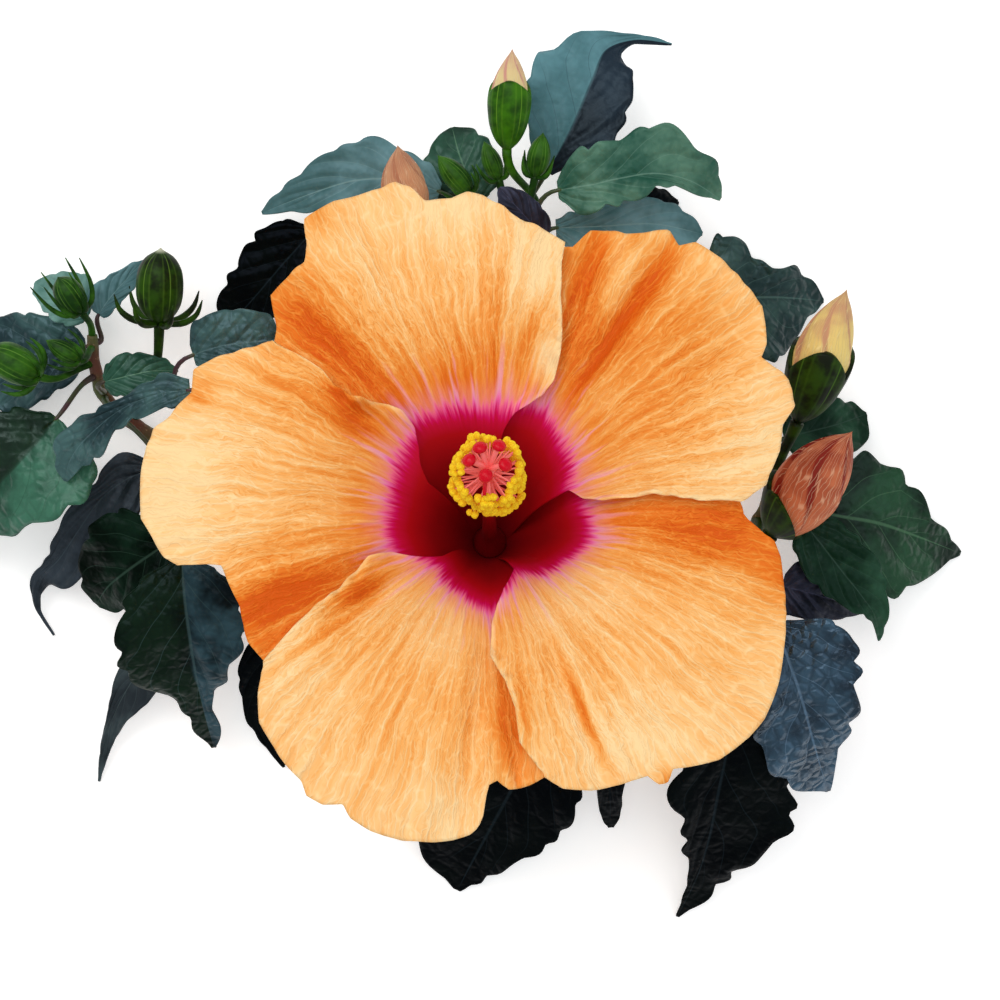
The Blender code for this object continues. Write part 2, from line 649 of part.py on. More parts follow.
LEAVES = {
    "leaf_top": Leaf(
        MAIN, 0.99, ((11.1, 77.6, 19), (15.3, 84.4, 21), (18.8, 91.8, 22), (21.9, 99.2, 22.5),
            (25, 106, 21), (32.3, 109.2, 17), (41, 109, 13)),
        (1.5, 9, 12, 14.5, 14, 8.5, 2.4, 1.2, 0.3),
        (1.5, 5, 10.5, 11, 10, 8, 2, 1, 0.3), fold=12,
    ),
    "leaf_top_right": Leaf(
        MAIN, 0.955, ((13.3, 71.2, 35), (20.6, 72.1, 37), (27.9, 73.7, 37), (35.6, 74.8, 36),
            (43.9, 73.7, 32), (51.4, 70.3, 26)),
        (2, 7.8, 8.8, 9, 9.9, 11.5, 8.3, 6, 0.5),
        (2, 6, 5.8, 5.8, 5, 3, 2.3, 1.9, 0.4), turn=8, fold=-8,
    ),
    "leaf_top_right_back": Leaf(
        MAIN, 0.80, ((24, 63, 8), (34, 69, 6), (43.5, 73, 0.5)),
        (2, 4, 6, 6, 6, 6, 5, 3, 0.5),
        (2, 4, 6, 6, 6, 6, 5, 3, 0.5),
    ),
    "leaf_top_right_under": Leaf(
        MAIN, 0.925, ((13.1, 63.8, 24), (24.7, 64.4, 23), (36.6, 65.2, 20), (48.3, 63.6, 13)),
        (2, 3.5, 5, 5.6, 6, 5.9, 5.4, 3.5, 0.5),
        (2, 6, 8, 9, 9, 8, 6, 4, 0.5),
    ),
    "leaf_top_left": Leaf(
        MAIN, 0.84, ((-14.2, 72.8, 20), (-23.6, 75.5, 20.5), (-34.3, 75.4, 20), (-45.5, 72.3, 18),
            (-56.7, 68.4, 15)),
        (2, 6, 8, 9, 8, 6.5, 4.3, 2.1, 0.4),
        (2, 5.4, 7, 9.7, 8.7, 7.6, 5.5, 3.1, 0.5),
    ),
    "leaf_top_small": Leaf(
        MAIN, 0.90, ((-5.3, 71.3, 13), (-7.6, 76.9, 13.5), (-9.8, 82.8, 13), (-11.5, 89.5, 10)),
        (2, 6, 8.5, 9.5, 9.5, 9, 7.5, 4.5, 0.5),
        (2, 6, 8, 8.5, 8.5, 8, 7, 4.5, 0.5),
    ),
    "leaf_top_dark": Leaf(
        MAIN, 0.885, ((10.3, 59.4, 38), (6.8, 63.2, 41), (3.2, 67.1, 42), (-0.2, 70.8, 42)),
        (1, 3, 4, 4.2, 4.2, 4, 3.2, 2, 0.4),
        (1, 3, 4, 4.2, 4.2, 4, 3.2, 2, 0.4),
    ),
    "leaf_upper_left": Leaf(
        MAIN, 0.68, ((-45.1, 64.3, 11), (-52, 57.1, 9), (-59.1, 49.4, 6), (-67, 41.6, 0.6)),
        (3, 8, 9, 9, 8, 7, 6, 4, 0.5),
        (3, 8, 9.3, 9.4, 9, 8.3, 7.5, 5.5, 0.5),
    ),
    "leaf_left_inner": Leaf(
        LEFT, 0.63, ((-70.9, 33.5, 32), (-64.1, 35.5, 33.5), (-57.1, 36.4, 34), (-50.2, 36.8, 34)),
        (2.5, 6.7, 7.6, 7.9, 7.8, 7.6, 7, 5.5, 0.8),
        (2.5, 4, 5, 6, 7, 7, 6, 4, 0.6),
    ),
    "leaf_left_short": Leaf(
        LEFT, 0.85, ((-92.5, 27.6, 26), (-86.7, 28.9, 27.5), (-80.9, 30.1, 27), (-75.5, 30.3, 24)),
        (1.5, 3.8, 5, 5.2, 4.8, 4, 3.2, 2, 0.4),
        (1.5, 3.6, 4.6, 4.8, 4.4, 3.6, 2.6, 1.4, 0.3),
    ),
    "leaf_left_front": Leaf(
        LEFT, 0.55, ((-69.9, 24.8, 45), (-75.6, 24.2, 44.5), (-81.5, 22.6, 43), (-87, 20, 41),
            (-92, 16.4, 38.5), (-96.3, 12.6, 36), (-99.3, 8.5, 33.5), (-100.5, 4.4, 31)),
        (2.5, 3.7, 3.7, 3.5, 3.8, 5.3, 4.4, 2.8, 0.4),
        (2.5, 4.3, 3, 2.6, 3.2, 4.6, 5.5, 3.2, 0.5),
    ),
    "leaf_left_large": Leaf(
        LEFT, 0.89, ((-103.5, 19.2, 26), (-107.6, 14, 28), (-112.2, 8.6, 28), (-119.1, 2.3, 24),
            (-128, -5.9, 16), (-134, -12, 8)),
        (2, 15, 18, 16.5, 14.3, 11.5, 8, 4, 0.5),
        (2, 8, 12, 14, 14, 12, 9, 5, 0.5),
    ),
    "leaf_left_far": Leaf(
        LEFT, 0.96, ((-99.3, 36.8, 11.5), (-109.3, 35.5, 9.5), (-120.7, 33.8, 6), (-134, 32.3, 0.6)),
        (2, 7, 9.3, 11.7, 12.8, 12.8, 11, 7, 0.5),
        (2, 6.9, 8.8, 9.8, 10.5, 10.8, 10, 7, 0.5),
    ),
    "leaf_left_back": Leaf(
        LEFT, 0.985, ((-98.8, 43.5, 13), (-102.9, 46.4, 13), (-107.3, 49.4, 12), (-112, 52.3, 9)),
        (1.5, 3.4, 4.6, 5, 4.8, 4.4, 3.8, 2.6, 0.4),
        (1.5, 5, 7.5, 8.3, 8, 6.5, 4.6, 2.4, 0.4),
    ),
    "leaf_left_upper": Leaf(
        LEFT, 0.975, ((-95.0, 43.8, 19), (-92.3, 47.8, 18.6), (-88.6, 52.5, 17), (-85, 57.1, 14)),
        (1.5, 4, 5, 4.6, 4, 3.2, 2.4, 1.4, 0.3),
        (1.5, 2.4, 2.7, 2.8, 2.9, 3, 2.6, 1.6, 0.3),
    ),
    "leaf_low_left_dark": Leaf(
        LEFT, 0.83, ((-83, 7.1, 18), (-88.9, 4.7, 18), (-95, 0, 17), (-100.2, -6.7, 14.5),
            (-105.7, -13.9, 10.5), (-110.7, -18.9, 7), (-112.3, -25.8, 4), (-109, -33, 0.8)),
        (3, 8, 9, 9, 8, 6.5, 1.6, 0.5, 0.25),
        (3, 6.4, 3.8, 4.6, 4.1, 2.2, 2.2, 0.5, 0.25),
    ),
    "leaf_low_left_broad": Leaf(
        LEFT, 0.65, ((-76.6, -9.3, 26), (-81.9, -12.9, 25.5), (-87.6, -16.7, 23), (-92.9, -20.6, 18),
            (-96.6, -24.9, 12)),
        (2.5, 9, 12, 13, 12.5, 11, 8, 5, 1),
        (2.5, 10, 13, 14, 13, 11, 9, 5.5, 1),
    ),
    "leaf_low_left_hanging": Leaf(
        LEFT, 0.50, ((-72.7, -13.7, 38), (-72.1, -22.4, 37.5), (-71.4, -31.3, 34), (-70.9, -40.3, 27),
            (-70.2, -49.8, 18), (-69, -59.6, 8)),
        (2.5, 11.3, 12.6, 13.2, 10.5, 7, 2.4, 3, 0.7),
        (2.5, 11, 15, 16.5, 16.5, 13, 5.5, 3.4, 0.7),
    ),
    "leaf_low_left_narrow": Leaf(
        LEFT, 0.45, ((-83.4, -37.4, 12), (-88.3, -43.3, 10), (-91.9, -49.2, 8), (-94.8, -55.7, 5.5),
            (-96.6, -62.1, 3), (-98, -68.7, 0.6)),
        (3, 6, 6.2, 5, 3.4, 2.3, 1.5, 0.8, 0.3),
        (3, 4.4, 3.8, 2.6, 1.6, 1.1, 0.9, 0.6, 0.3),
    ),
    "leaf_low_left_under": Leaf(
        LEFT, 0.32, ((-51.2, -33.3, 16), (-56, -43.1, 13), (-57.2, -53.6, 8), (-52.7, -65.1, 2)),
        (2, 6, 7, 7, 6, 5, 4, 2.5, 0.4),
        (3, 7, 7.4, 6.2, 5, 3.8, 2.2, 1.3, 0.3),
    ),
    "leaf_bottom": Leaf(
        MAIN, 0.10, ((11.3, -52.7, 22), (4.3, -65.9, 18), (-2.9, -80.3, 10), (-10.3, -95.3, 0.6)),
        (3, 12, 15, 16, 15, 12.5, 8, 4, 0.6),
        (3, 11, 15, 17, 18, 18.5, 17, 12, 1),
    ),
    "leaf_bottom_small": Leaf(
        MAIN, 0.2, ((25.9, -47.2, 26), (26, -57.1, 25), (26, -67.7, 19), (26.7, -78.6, 10)),
        (2, 4.6, 5, 4.8, 4.2, 3.5, 2.9, 2.3, 0.8),
        (2, 4.6, 5, 4.8, 4.2, 3.5, 2.9, 2.3, 0.8),
    ),
    "leaf_low_right": Leaf(
        RIGHT, 0.4, ((55, -44.4, 32), (53, -56.9, 29), (51, -69.8, 23), (49.3, -82.2, 15),
            (47.1, -91.7, 8), (43.3, -101.7, 0.6)),
        (4, 12, 15, 18, 18.5, 12.5, 7.7, 4.3, 0.5),
        (4, 8, 10, 12, 7.6, 5.5, 2.4, 1.2, 0.3), turn=-12,
    ),
    "leaf_right_blue": Leaf(
        RIGHT, 0.68, ((62.1, -28.2, 44), (65.7, -37.4, 43), (69.1, -46.3, 39), (72.5, -56.3, 33),
            (77.4, -68.6, 20.5)),
        (3, 13.5, 15, 14.8, 12.8, 11.3, 8, 3.2, 0.6),
        (3, 9, 11, 12, 12, 13, 12, 8, 0.6),
    ),
    "leaf_right_dark": Leaf(
        RIGHT, 0.74, ((66.6, -20.3, 20), (75.8, -22.7, 18.5), (88.2, -26.5, 9)),
        (3, 6, 7, 7, 6.5, 6, 5, 3, 0.5),
        (3, 6, 6.5, 6.5, 6, 5, 3.6, 1.8, 0.4),
    ),
    "leaf_right_front": Leaf(
        RIGHT, 0.86, ((70.4, -4.7, 27), (75, -10.5, 27.5), (79.8, -16.6, 26.5), (84.9, -22.7, 24),
            (88.5, -27.6, 20.5), (90.3, -33.4, 15)),
        (2, 6, 7.5, 8, 8, 6.5, 4, 2, 0.3),
        (2, 6, 7.5, 7, 6, 4, 2, 0.8, 0.25),
    ),
    "leaf_right_large": Leaf(
        RIGHT, 0.92, ((70.7, -1.9, 21), (80.3, -3.8, 20), (90.3, -5.5, 16.5), (101.1, -8.9, 9.5),
            (112.4, -13, 0.8)),
        (2.5, 11, 15, 15.5, 13.5, 10, 6.5, 3.2, 0.5),
        (2.5, 11, 15, 17.5, 18.5, 17, 12.5, 6, 0.5),
    ),
    "leaf_right_back": Leaf(
        RIGHT, 0.985, ((67.7, 14.8, 15), (74.4, 16.5, 13), (81.3, 18.3, 10), (88.8, 20.9, 5)),
        (2, 6, 7, 7.2, 7, 6.5, 5.5, 3.4, 0.5),
        (2, 6, 7, 8, 8.5, 8.5, 8, 6, 0.5),
    ),
    "leaf_upper_right": Leaf(
        RIGHT, 0.95, ((47.9, 48.9, 12), (57.6, 48.7, 11.5), (67.6, 49, 8), (79, 48.6, 0.6)),
        (4, 14, 14.5, 12.3, 8.3, 7.6, 7.4, 4.4, 0.5),
        (4, 14, 15, 16, 16, 15, 10.5, 4, 0.5),
    ),
}
for leaf_name, leaf in LEAVES.items():
    build_leaf(leaf_name, leaf, LEAF_GREEN)

seat_on_ground()
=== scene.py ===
import json
import math
import random

import bpy
from mathutils import Matrix, Vector, noise


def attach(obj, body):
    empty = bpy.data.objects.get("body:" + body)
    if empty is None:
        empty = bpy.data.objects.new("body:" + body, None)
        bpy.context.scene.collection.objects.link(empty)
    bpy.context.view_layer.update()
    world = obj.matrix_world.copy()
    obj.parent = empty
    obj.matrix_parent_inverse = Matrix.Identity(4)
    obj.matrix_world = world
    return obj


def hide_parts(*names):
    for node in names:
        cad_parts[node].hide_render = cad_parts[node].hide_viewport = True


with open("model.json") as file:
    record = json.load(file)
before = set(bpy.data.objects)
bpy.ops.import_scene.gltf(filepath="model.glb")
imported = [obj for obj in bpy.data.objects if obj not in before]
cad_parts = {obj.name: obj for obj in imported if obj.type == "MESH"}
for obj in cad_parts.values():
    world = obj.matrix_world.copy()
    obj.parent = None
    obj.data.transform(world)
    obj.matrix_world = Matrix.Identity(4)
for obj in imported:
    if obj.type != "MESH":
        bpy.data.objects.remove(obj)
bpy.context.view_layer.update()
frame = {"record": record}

# ------------------------------------------------------------------ studio and layout
# The branch is laid out in millimetres from a point on the table straight under the
# camera, with the foot of the main stem cut at a known place. Large soft lamps hang over
# a white table: one above the camera, one to the upper left, one to the lower right.
MM = 0.001
CUT_END = Vector((6.0, -66.0, 4.0))
CAMERA_HEIGHT = 575.0
CAMERA_LENS = 84.6
LAYOUT = Vector(frame["record"]["mounts"][0]["pos_m"]) - CUT_END * MM


def spot(point):
    """The frame position, in metres, of a layout point given in millimetres."""
    return Vector(point) * MM + LAYOUT


bpy.ops.object.select_all(action="DESELECT")
bpy.ops.object.camera_add(location=spot((0.0, 0.0, CAMERA_HEIGHT)), rotation=(0.0, 0.0, 0.0))
camera = bpy.context.object
camera.data.sensor_width = 36.0
camera.data.lens = CAMERA_LENS
camera.data.clip_start = 0.01
bpy.context.scene.camera = camera

bpy.ops.mesh.primitive_plane_add(size=4.0, location=(0.0, 0.0, 0.0))
table = bpy.context.object
table.name = "table_top"
table_white = bpy.data.materials.new("table_white")
table_white.use_nodes = True
for key, value in (
    ("Base Color", (0.93, 0.93, 0.925, 1.0)),
    ("Roughness", 0.9),
    ("Emission Color", (1.0, 1.0, 1.0, 1.0)),
    ("Emission Strength", 0.35),
):
    table_white.node_tree.nodes["Principled BSDF"].inputs[key].default_value = value
table.data.materials.append(table_white)


def hang_lamp(name, place, size, watts, tint):
    """A square soft lamp that faces the middle of the table."""
    bpy.ops.object.light_add(type="AREA", location=place)
    lamp = bpy.context.object
    lamp.name = name
    lamp.data.size = size
    lamp.data.energy = watts
    lamp.data.color = tint
    lamp.rotation_euler = (-Vector(place)).to_track_quat("-Z", "Y").to_euler()


hang_lamp("key_lamp", (-0.42, 0.46, 1.0), 0.6, 4.5, (1.0, 0.98, 0.95))
hang_lamp("top_lamp", (0.0, 0.08, 1.25), 0.6, 3.1, (1.0, 0.99, 0.97))
hang_lamp("fill_lamp", (0.8, -0.3, 0.9), 0.9, 2.1, (0.88, 0.94, 1.0))
room = bpy.data.worlds.new("soft_room")
bpy.context.scene.world = room
room.use_nodes = True
room.node_tree.nodes["Background"].inputs["Color"].default_value = (0.95, 0.98, 1.0, 1.0)
room.node_tree.nodes["Background"].inputs["Strength"].default_value = 0.54
bpy.context.scene.view_settings.view_transform = "Standard"

# ------------------------------------------------------------------------ woody stems
# Three limbs carry everything: the main stem with its flat cut, and two side shoots that
# leave it square. Green-brown young bark with corky flecks, swollen a little wherever a
# leaf or a flower stalk stands.


def smooth_step(low, high, value):
    share = min(1.0, max(0.0, (value - low) / (high - low)))
    return share * share * (3.0 - 2.0 * share)


def along(values, share):
    """The value at a share from 0 to 1 of an evenly spaced list, rounded like a spline."""
    place = min(max(share, 0.0), 1.0) * (len(values) - 1)
    start = min(int(place), len(values) - 2)
    t = place - start
    a, b = values[max(start - 1, 0)], values[start]
    c, d = values[start + 1], values[min(start + 2, len(values) - 1)]
    return b + 0.5 * t * ((c - a) + t * ((2 * a - 5 * b + 4 * c - d) + t * (3 * (b - c) + d - a)))


def smooth_line(points, count):
    vectors = [Vector(p) for p in points]
    return [along(vectors, i / count) for i in range(count + 1)]


def stalk_line(start, out, end, ahead, count):
    """A curve that leaves start square off its bark and arrives at end along ahead."""
    first = start + out * 0.8
    pull = (end - first).length * 0.38
    leave, arrive = first + out * pull, end - ahead * pull
    line = [start]
    for i in range(count - 1):
        t = i / (count - 2)
        u = 1.0 - t
        line.append(first * u**3 + leave * (3 * u * u * t) + arrive * (3 * u * t * t) + end * t**3)
    return line


class Stem:
    """A limb's centre line and radii; it tells where on its bark a stalk stands."""

    def __init__(self, line, radii):
        self.line = line
        self.radii = radii

    def place(self, share):
        step = share * (len(self.line) - 1)
        start = min(int(step), len(self.line) - 2)
        low, high = self.line[start], self.line[start + 1]
        return low.lerp(high, step - start), (high - low).normalized(), along(self.radii, share)

    def seat(self, share, towards):
        if share == 1.0:
            ahead = (self.line[-1] - self.line[-2]).normalized()
            return self.line[-1] - ahead * 0.2, ahead
        centre, axis, radius = self.place(share)
        out = Vector(towards) - centre
        out = (out - axis * out.dot(axis)).normalized()
        return centre + out * (radius - 0.2), out


def side_shoot(parent, share, points, radii):
    start, out = parent.seat(share, points[0])
    first = Vector(points[0])
    ahead = (Vector(points[1]) - first).normalized()
    return Stem(stalk_line(start, out, first, ahead, 6)[:-1] + smooth_line(points, 9), radii)


def draw_tube(name, line, radii, sides=12):
    """A round rod along layout points, with its ends filled."""
    bpy.ops.object.select_all(action="DESELECT")
    bpy.ops.curve.primitive_nurbs_path_add(radius=MM, location=(0.0, 0.0, 0.0))
    rod = bpy.context.object
    rod.name = name
    rod.data.splines.clear()
    path = rod.data.splines.new("POLY")
    path.points.add(len(line) - 1)
    for i, point in enumerate(line):
        path.points[i].co = (*spot(point), 1.0)
        path.points[i].radius = along(radii, i / (len(line) - 1))
    rod.data.dimensions = "3D"
    rod.data.bevel_depth = MM
    rod.data.bevel_resolution = max(0, sides // 2 - 2)
    rod.data.use_fill_caps = True
    bpy.ops.object.convert(target="MESH")
    rod = bpy.context.object
    bpy.ops.object.mode_set(mode="EDIT")
    bpy.ops.mesh.select_all(action="SELECT")
    bpy.ops.mesh.remove_doubles(threshold=0.000005)
    bpy.ops.object.mode_set(mode="OBJECT")
    bpy.ops.object.shade_smooth()
    return rod


def paint(code):
    """A colour written as six hex digits, as the linear values that shaders take."""
    parts = [int(code[i : i + 2], 16) / 255.0 for i in (0, 2, 4)]
    return (*[p / 12.92 if p < 0.04045 else ((p + 0.055) / 1.055) ** 2.4 for p in parts], 1.0)


def new_finish(name, roughness, specular=0.5):
    made = bpy.data.materials.new(name)
    made.use_nodes = True
    shader = made.node_tree.nodes["Principled BSDF"]
    shader.inputs["Roughness"].default_value = roughness
    shader.inputs["Specular IOR Level"].default_value = specular
    return made, shader


def add_node(owner, kind):
    """Adds a node to the shader tree that the owner, a node or a socket, stands in."""
    return owner.id_data.nodes.new("ShaderNode" + kind)


def feed(sources, sockets):
    """Links each socket to its source, or writes the source in if it is a plain value."""
    for source, socket in zip(sources, sockets):
        if isinstance(source, bpy.types.NodeSocket):
            socket.id_data.links.new(source, socket)
        elif source is not None:
            socket.default_value = source


def wire(kind, *sources, **settings):
    """Adds one shader node, its inputs fed in order, and gives its first output."""
    made = add_node(next(s for s in sources if isinstance(s, bpy.types.NodeSocket)), kind)
    for key, value in settings.items():
        setattr(made, key, value)
    feed(sources, made.inputs)
    return made.outputs[0]


def calc(operation, *sources):
    return wire("Math", *sources, operation=operation)


def times(first, second):
    return calc("MULTIPLY", first, second)


def plus(first, second):
    return calc("ADD", first, second)


def times_plus(value, factor, rest):
    return calc("MULTIPLY_ADD", value, factor, rest)


def off_from(value, middle):
    """How far a value lies from a middle, to either side."""
    return calc("ABSOLUTE", calc("SUBTRACT", value, middle))


def fade(value, low, high, first=0.0, last=1.0):
    """Runs smoothly from first to last as value goes from low to high."""
    return wire("MapRange", value, low, high, first, last, interpolation_type="SMOOTHSTEP")


def blend_paint(share, first, second):
    """Mixes two colours, each a socket or a colour code, by a share."""
    made = add_node(share, "Mix")
    made.data_type = "RGBA"
    colours = [paint(c) if isinstance(c, str) else c for c in (first, second)]
    feed([share, *colours], [made.inputs[0], made.inputs[6], made.inputs[7]])
    return made.outputs[2]


def cloud(place, scale, detail=3.0, rough=0.55, stretch=(1.0, 1.0, 1.0)):
    """Soft noise over a place, with scale in cycles per unit."""
    place = wire("Mapping", place, (0, 0, 0), (0, 0, 0), stretch)
    return wire("TexNoise", place, None, scale, detail, rough)


def object_place(shader):
    return add_node(shader, "TexCoord").outputs["Object"]


def colour_skin(shader, colour):
    feed([colour], [shader.inputs["Base Color"]])


def raise_relief(shader, height, strength, depth):
    """Feeds a height, in shares of depth metres, to the shader's normal."""
    made = add_node(shader, "Bump")
    made.inputs["Strength"].default_value = strength
    made.inputs["Distance"].default_value = depth
    feed([height, made.outputs["Normal"]], [made.inputs["Height"], shader.inputs["Normal"]])


def settle(piece, node, skin=None):
    """Gives the piece its skin; it rides with the branch and stands for this node."""
    if skin:
        piece.data.materials.append(skin)
    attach(piece, "root")
    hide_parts(node)


bark, bark_shader = new_finish("young_bark", 0.62, 0.35)
bark_place = object_place(bark_shader)
bark_flecks = cloud(bark_place, 900.0, 4.0, 0.7)
bark_ground = blend_paint(fade(cloud(bark_place, 60.0, 2.0), 0.42, 0.62), "4C562E", "623A2C")
colour_skin(bark_shader, blend_paint(fade(bark_flecks, 0.58, 0.7), bark_ground, "98805F"))
raise_relief(bark_shader, bark_flecks, 0.5, 0.0004)

MAIN = Stem(
    [
        CUT_END.copy(),
        *smooth_line(
            (
                (6.0, -61.0, 4.0),
                (3.5, -42.0, 4.1),
                (-2.5, -14.0, 4.4),
                (-3.0, 18.0, 6.0),
                (3.5, 46.0, 9.5),
                (8.5, 66.0, 15.5),
            ),
            17,
        ),
    ],
    (4.0, 3.9, 3.6, 3.1, 2.6, 2.0),
)
LEFT = side_shoot(
    MAIN,
    0.34,
    ((-32, -13, 7), (-60, 1, 8), (-83, 15, 10), (-95, 25, 13.5), (-96.5, 39, 19)),
    (2.4, 2.2, 2.0, 1.8, 1.6, 1.3),
)
RIGHT = side_shoot(
    MAIN, 0.42, ((24, -13, 8), (48, -13, 10), (61, -6, 14), (65, 6, 19)), (2.3, 2.1, 1.9, 1.7, 1.4)
)
KNOTS = {
    "main_stem": (0.10, 0.2, 0.24, 0.34, 0.42, 0.68, 0.78, 0.84, 0.88, 0.92, 0.965),
    "left_shoot": (0.32, 0.45, 0.52, 0.57, 0.64, 0.74, 0.84, 0.9, 0.96),
    "right_shoot": (0.4, 0.69, 0.75, 0.81, 0.87, 0.93, 0.97),
}
STEM_STEPS = 120
KNOT_REACH, KNOT_SWELL, MOST_SWELL = 0.012, 0.10, 0.14
for name, limb in (("main_stem", MAIN), ("left_shoot", LEFT), ("right_shoot", RIGHT)):
    fine_line, fine_radii = [], []
    for i in range(STEM_STEPS + 1):
        at = i / STEM_STEPS
        knot = sum(KNOT_SWELL * math.exp(-(((at - k) / KNOT_REACH) ** 2)) for k in KNOTS[name])
        fine_line.append(limb.place(at)[0])
        fine_radii.append(along(limb.radii, at) * (0.97 + min(knot, MOST_SWELL)))
    rod = draw_tube(name + "_bark", fine_line, fine_radii, 20)
    for vertex in rod.data.vertices:
        vertex.co += vertex.normal * 0.10 * MM * noise.noise(vertex.co * 900.0)
    settle(rod, name, bark)

# ---------------------------------------------------------------------- bloom's petals
# Five broad thin petals stand on narrow claws round the column, open out through a
# funnel to a wide wavy face, and lie over one another clockwise. Apricot orange with
# branching pale veins, lilac streaks, and a crimson eye; painted shade deepens the orange
# in the folds, grooves and under overlapping edges, and painted light pales it on crests
# and free edges.
UP = Vector((0.0, 0.0, 1.0))
BLOOM = Matrix.Translation(spot((-2.4, -10.0, 22.0))) @ Matrix.Rotation(math.radians(-12.0), 4, "X")
CLAW_RADIUS = 4.0
PETAL_WALL = 0.45


def in_bloom(point):
    """The frame position of a point of the bloom's own axes, in millimetres."""
    return BLOOM @ (Vector(point) * MM)


def polar(radius, angle, height):
    return Vector((radius * math.cos(angle), radius * math.sin(angle), height))


def funnel_height(radius):
    rise = 52.0 * (1.0 - math.exp(-(radius - CLAW_RADIUS) / 13.0))
    return rise - 3.5 * smooth_step(45.0, 80.0, radius)


def between(pairs, value):
    """Reads a list of (place, value) pairs, straight between its points."""
    if value <= pairs[0][0]:
        return pairs[0][1]
    for (low, first), (high, last) in zip(pairs, pairs[1:]):
        if value <= high:
            return first + (last - first) * (value - low) / (high - low)
    return pairs[-1][1]


def mound(spots, degrees, radius):
    """Sums soft mounds given as (degrees, radius, half width in degrees, half length, height)."""
    return sum(
        high * math.exp(-(((degrees - at) / wide) ** 2) - ((radius - out) / long) ** 2)
        for at, out, wide, long, high in spots
    )
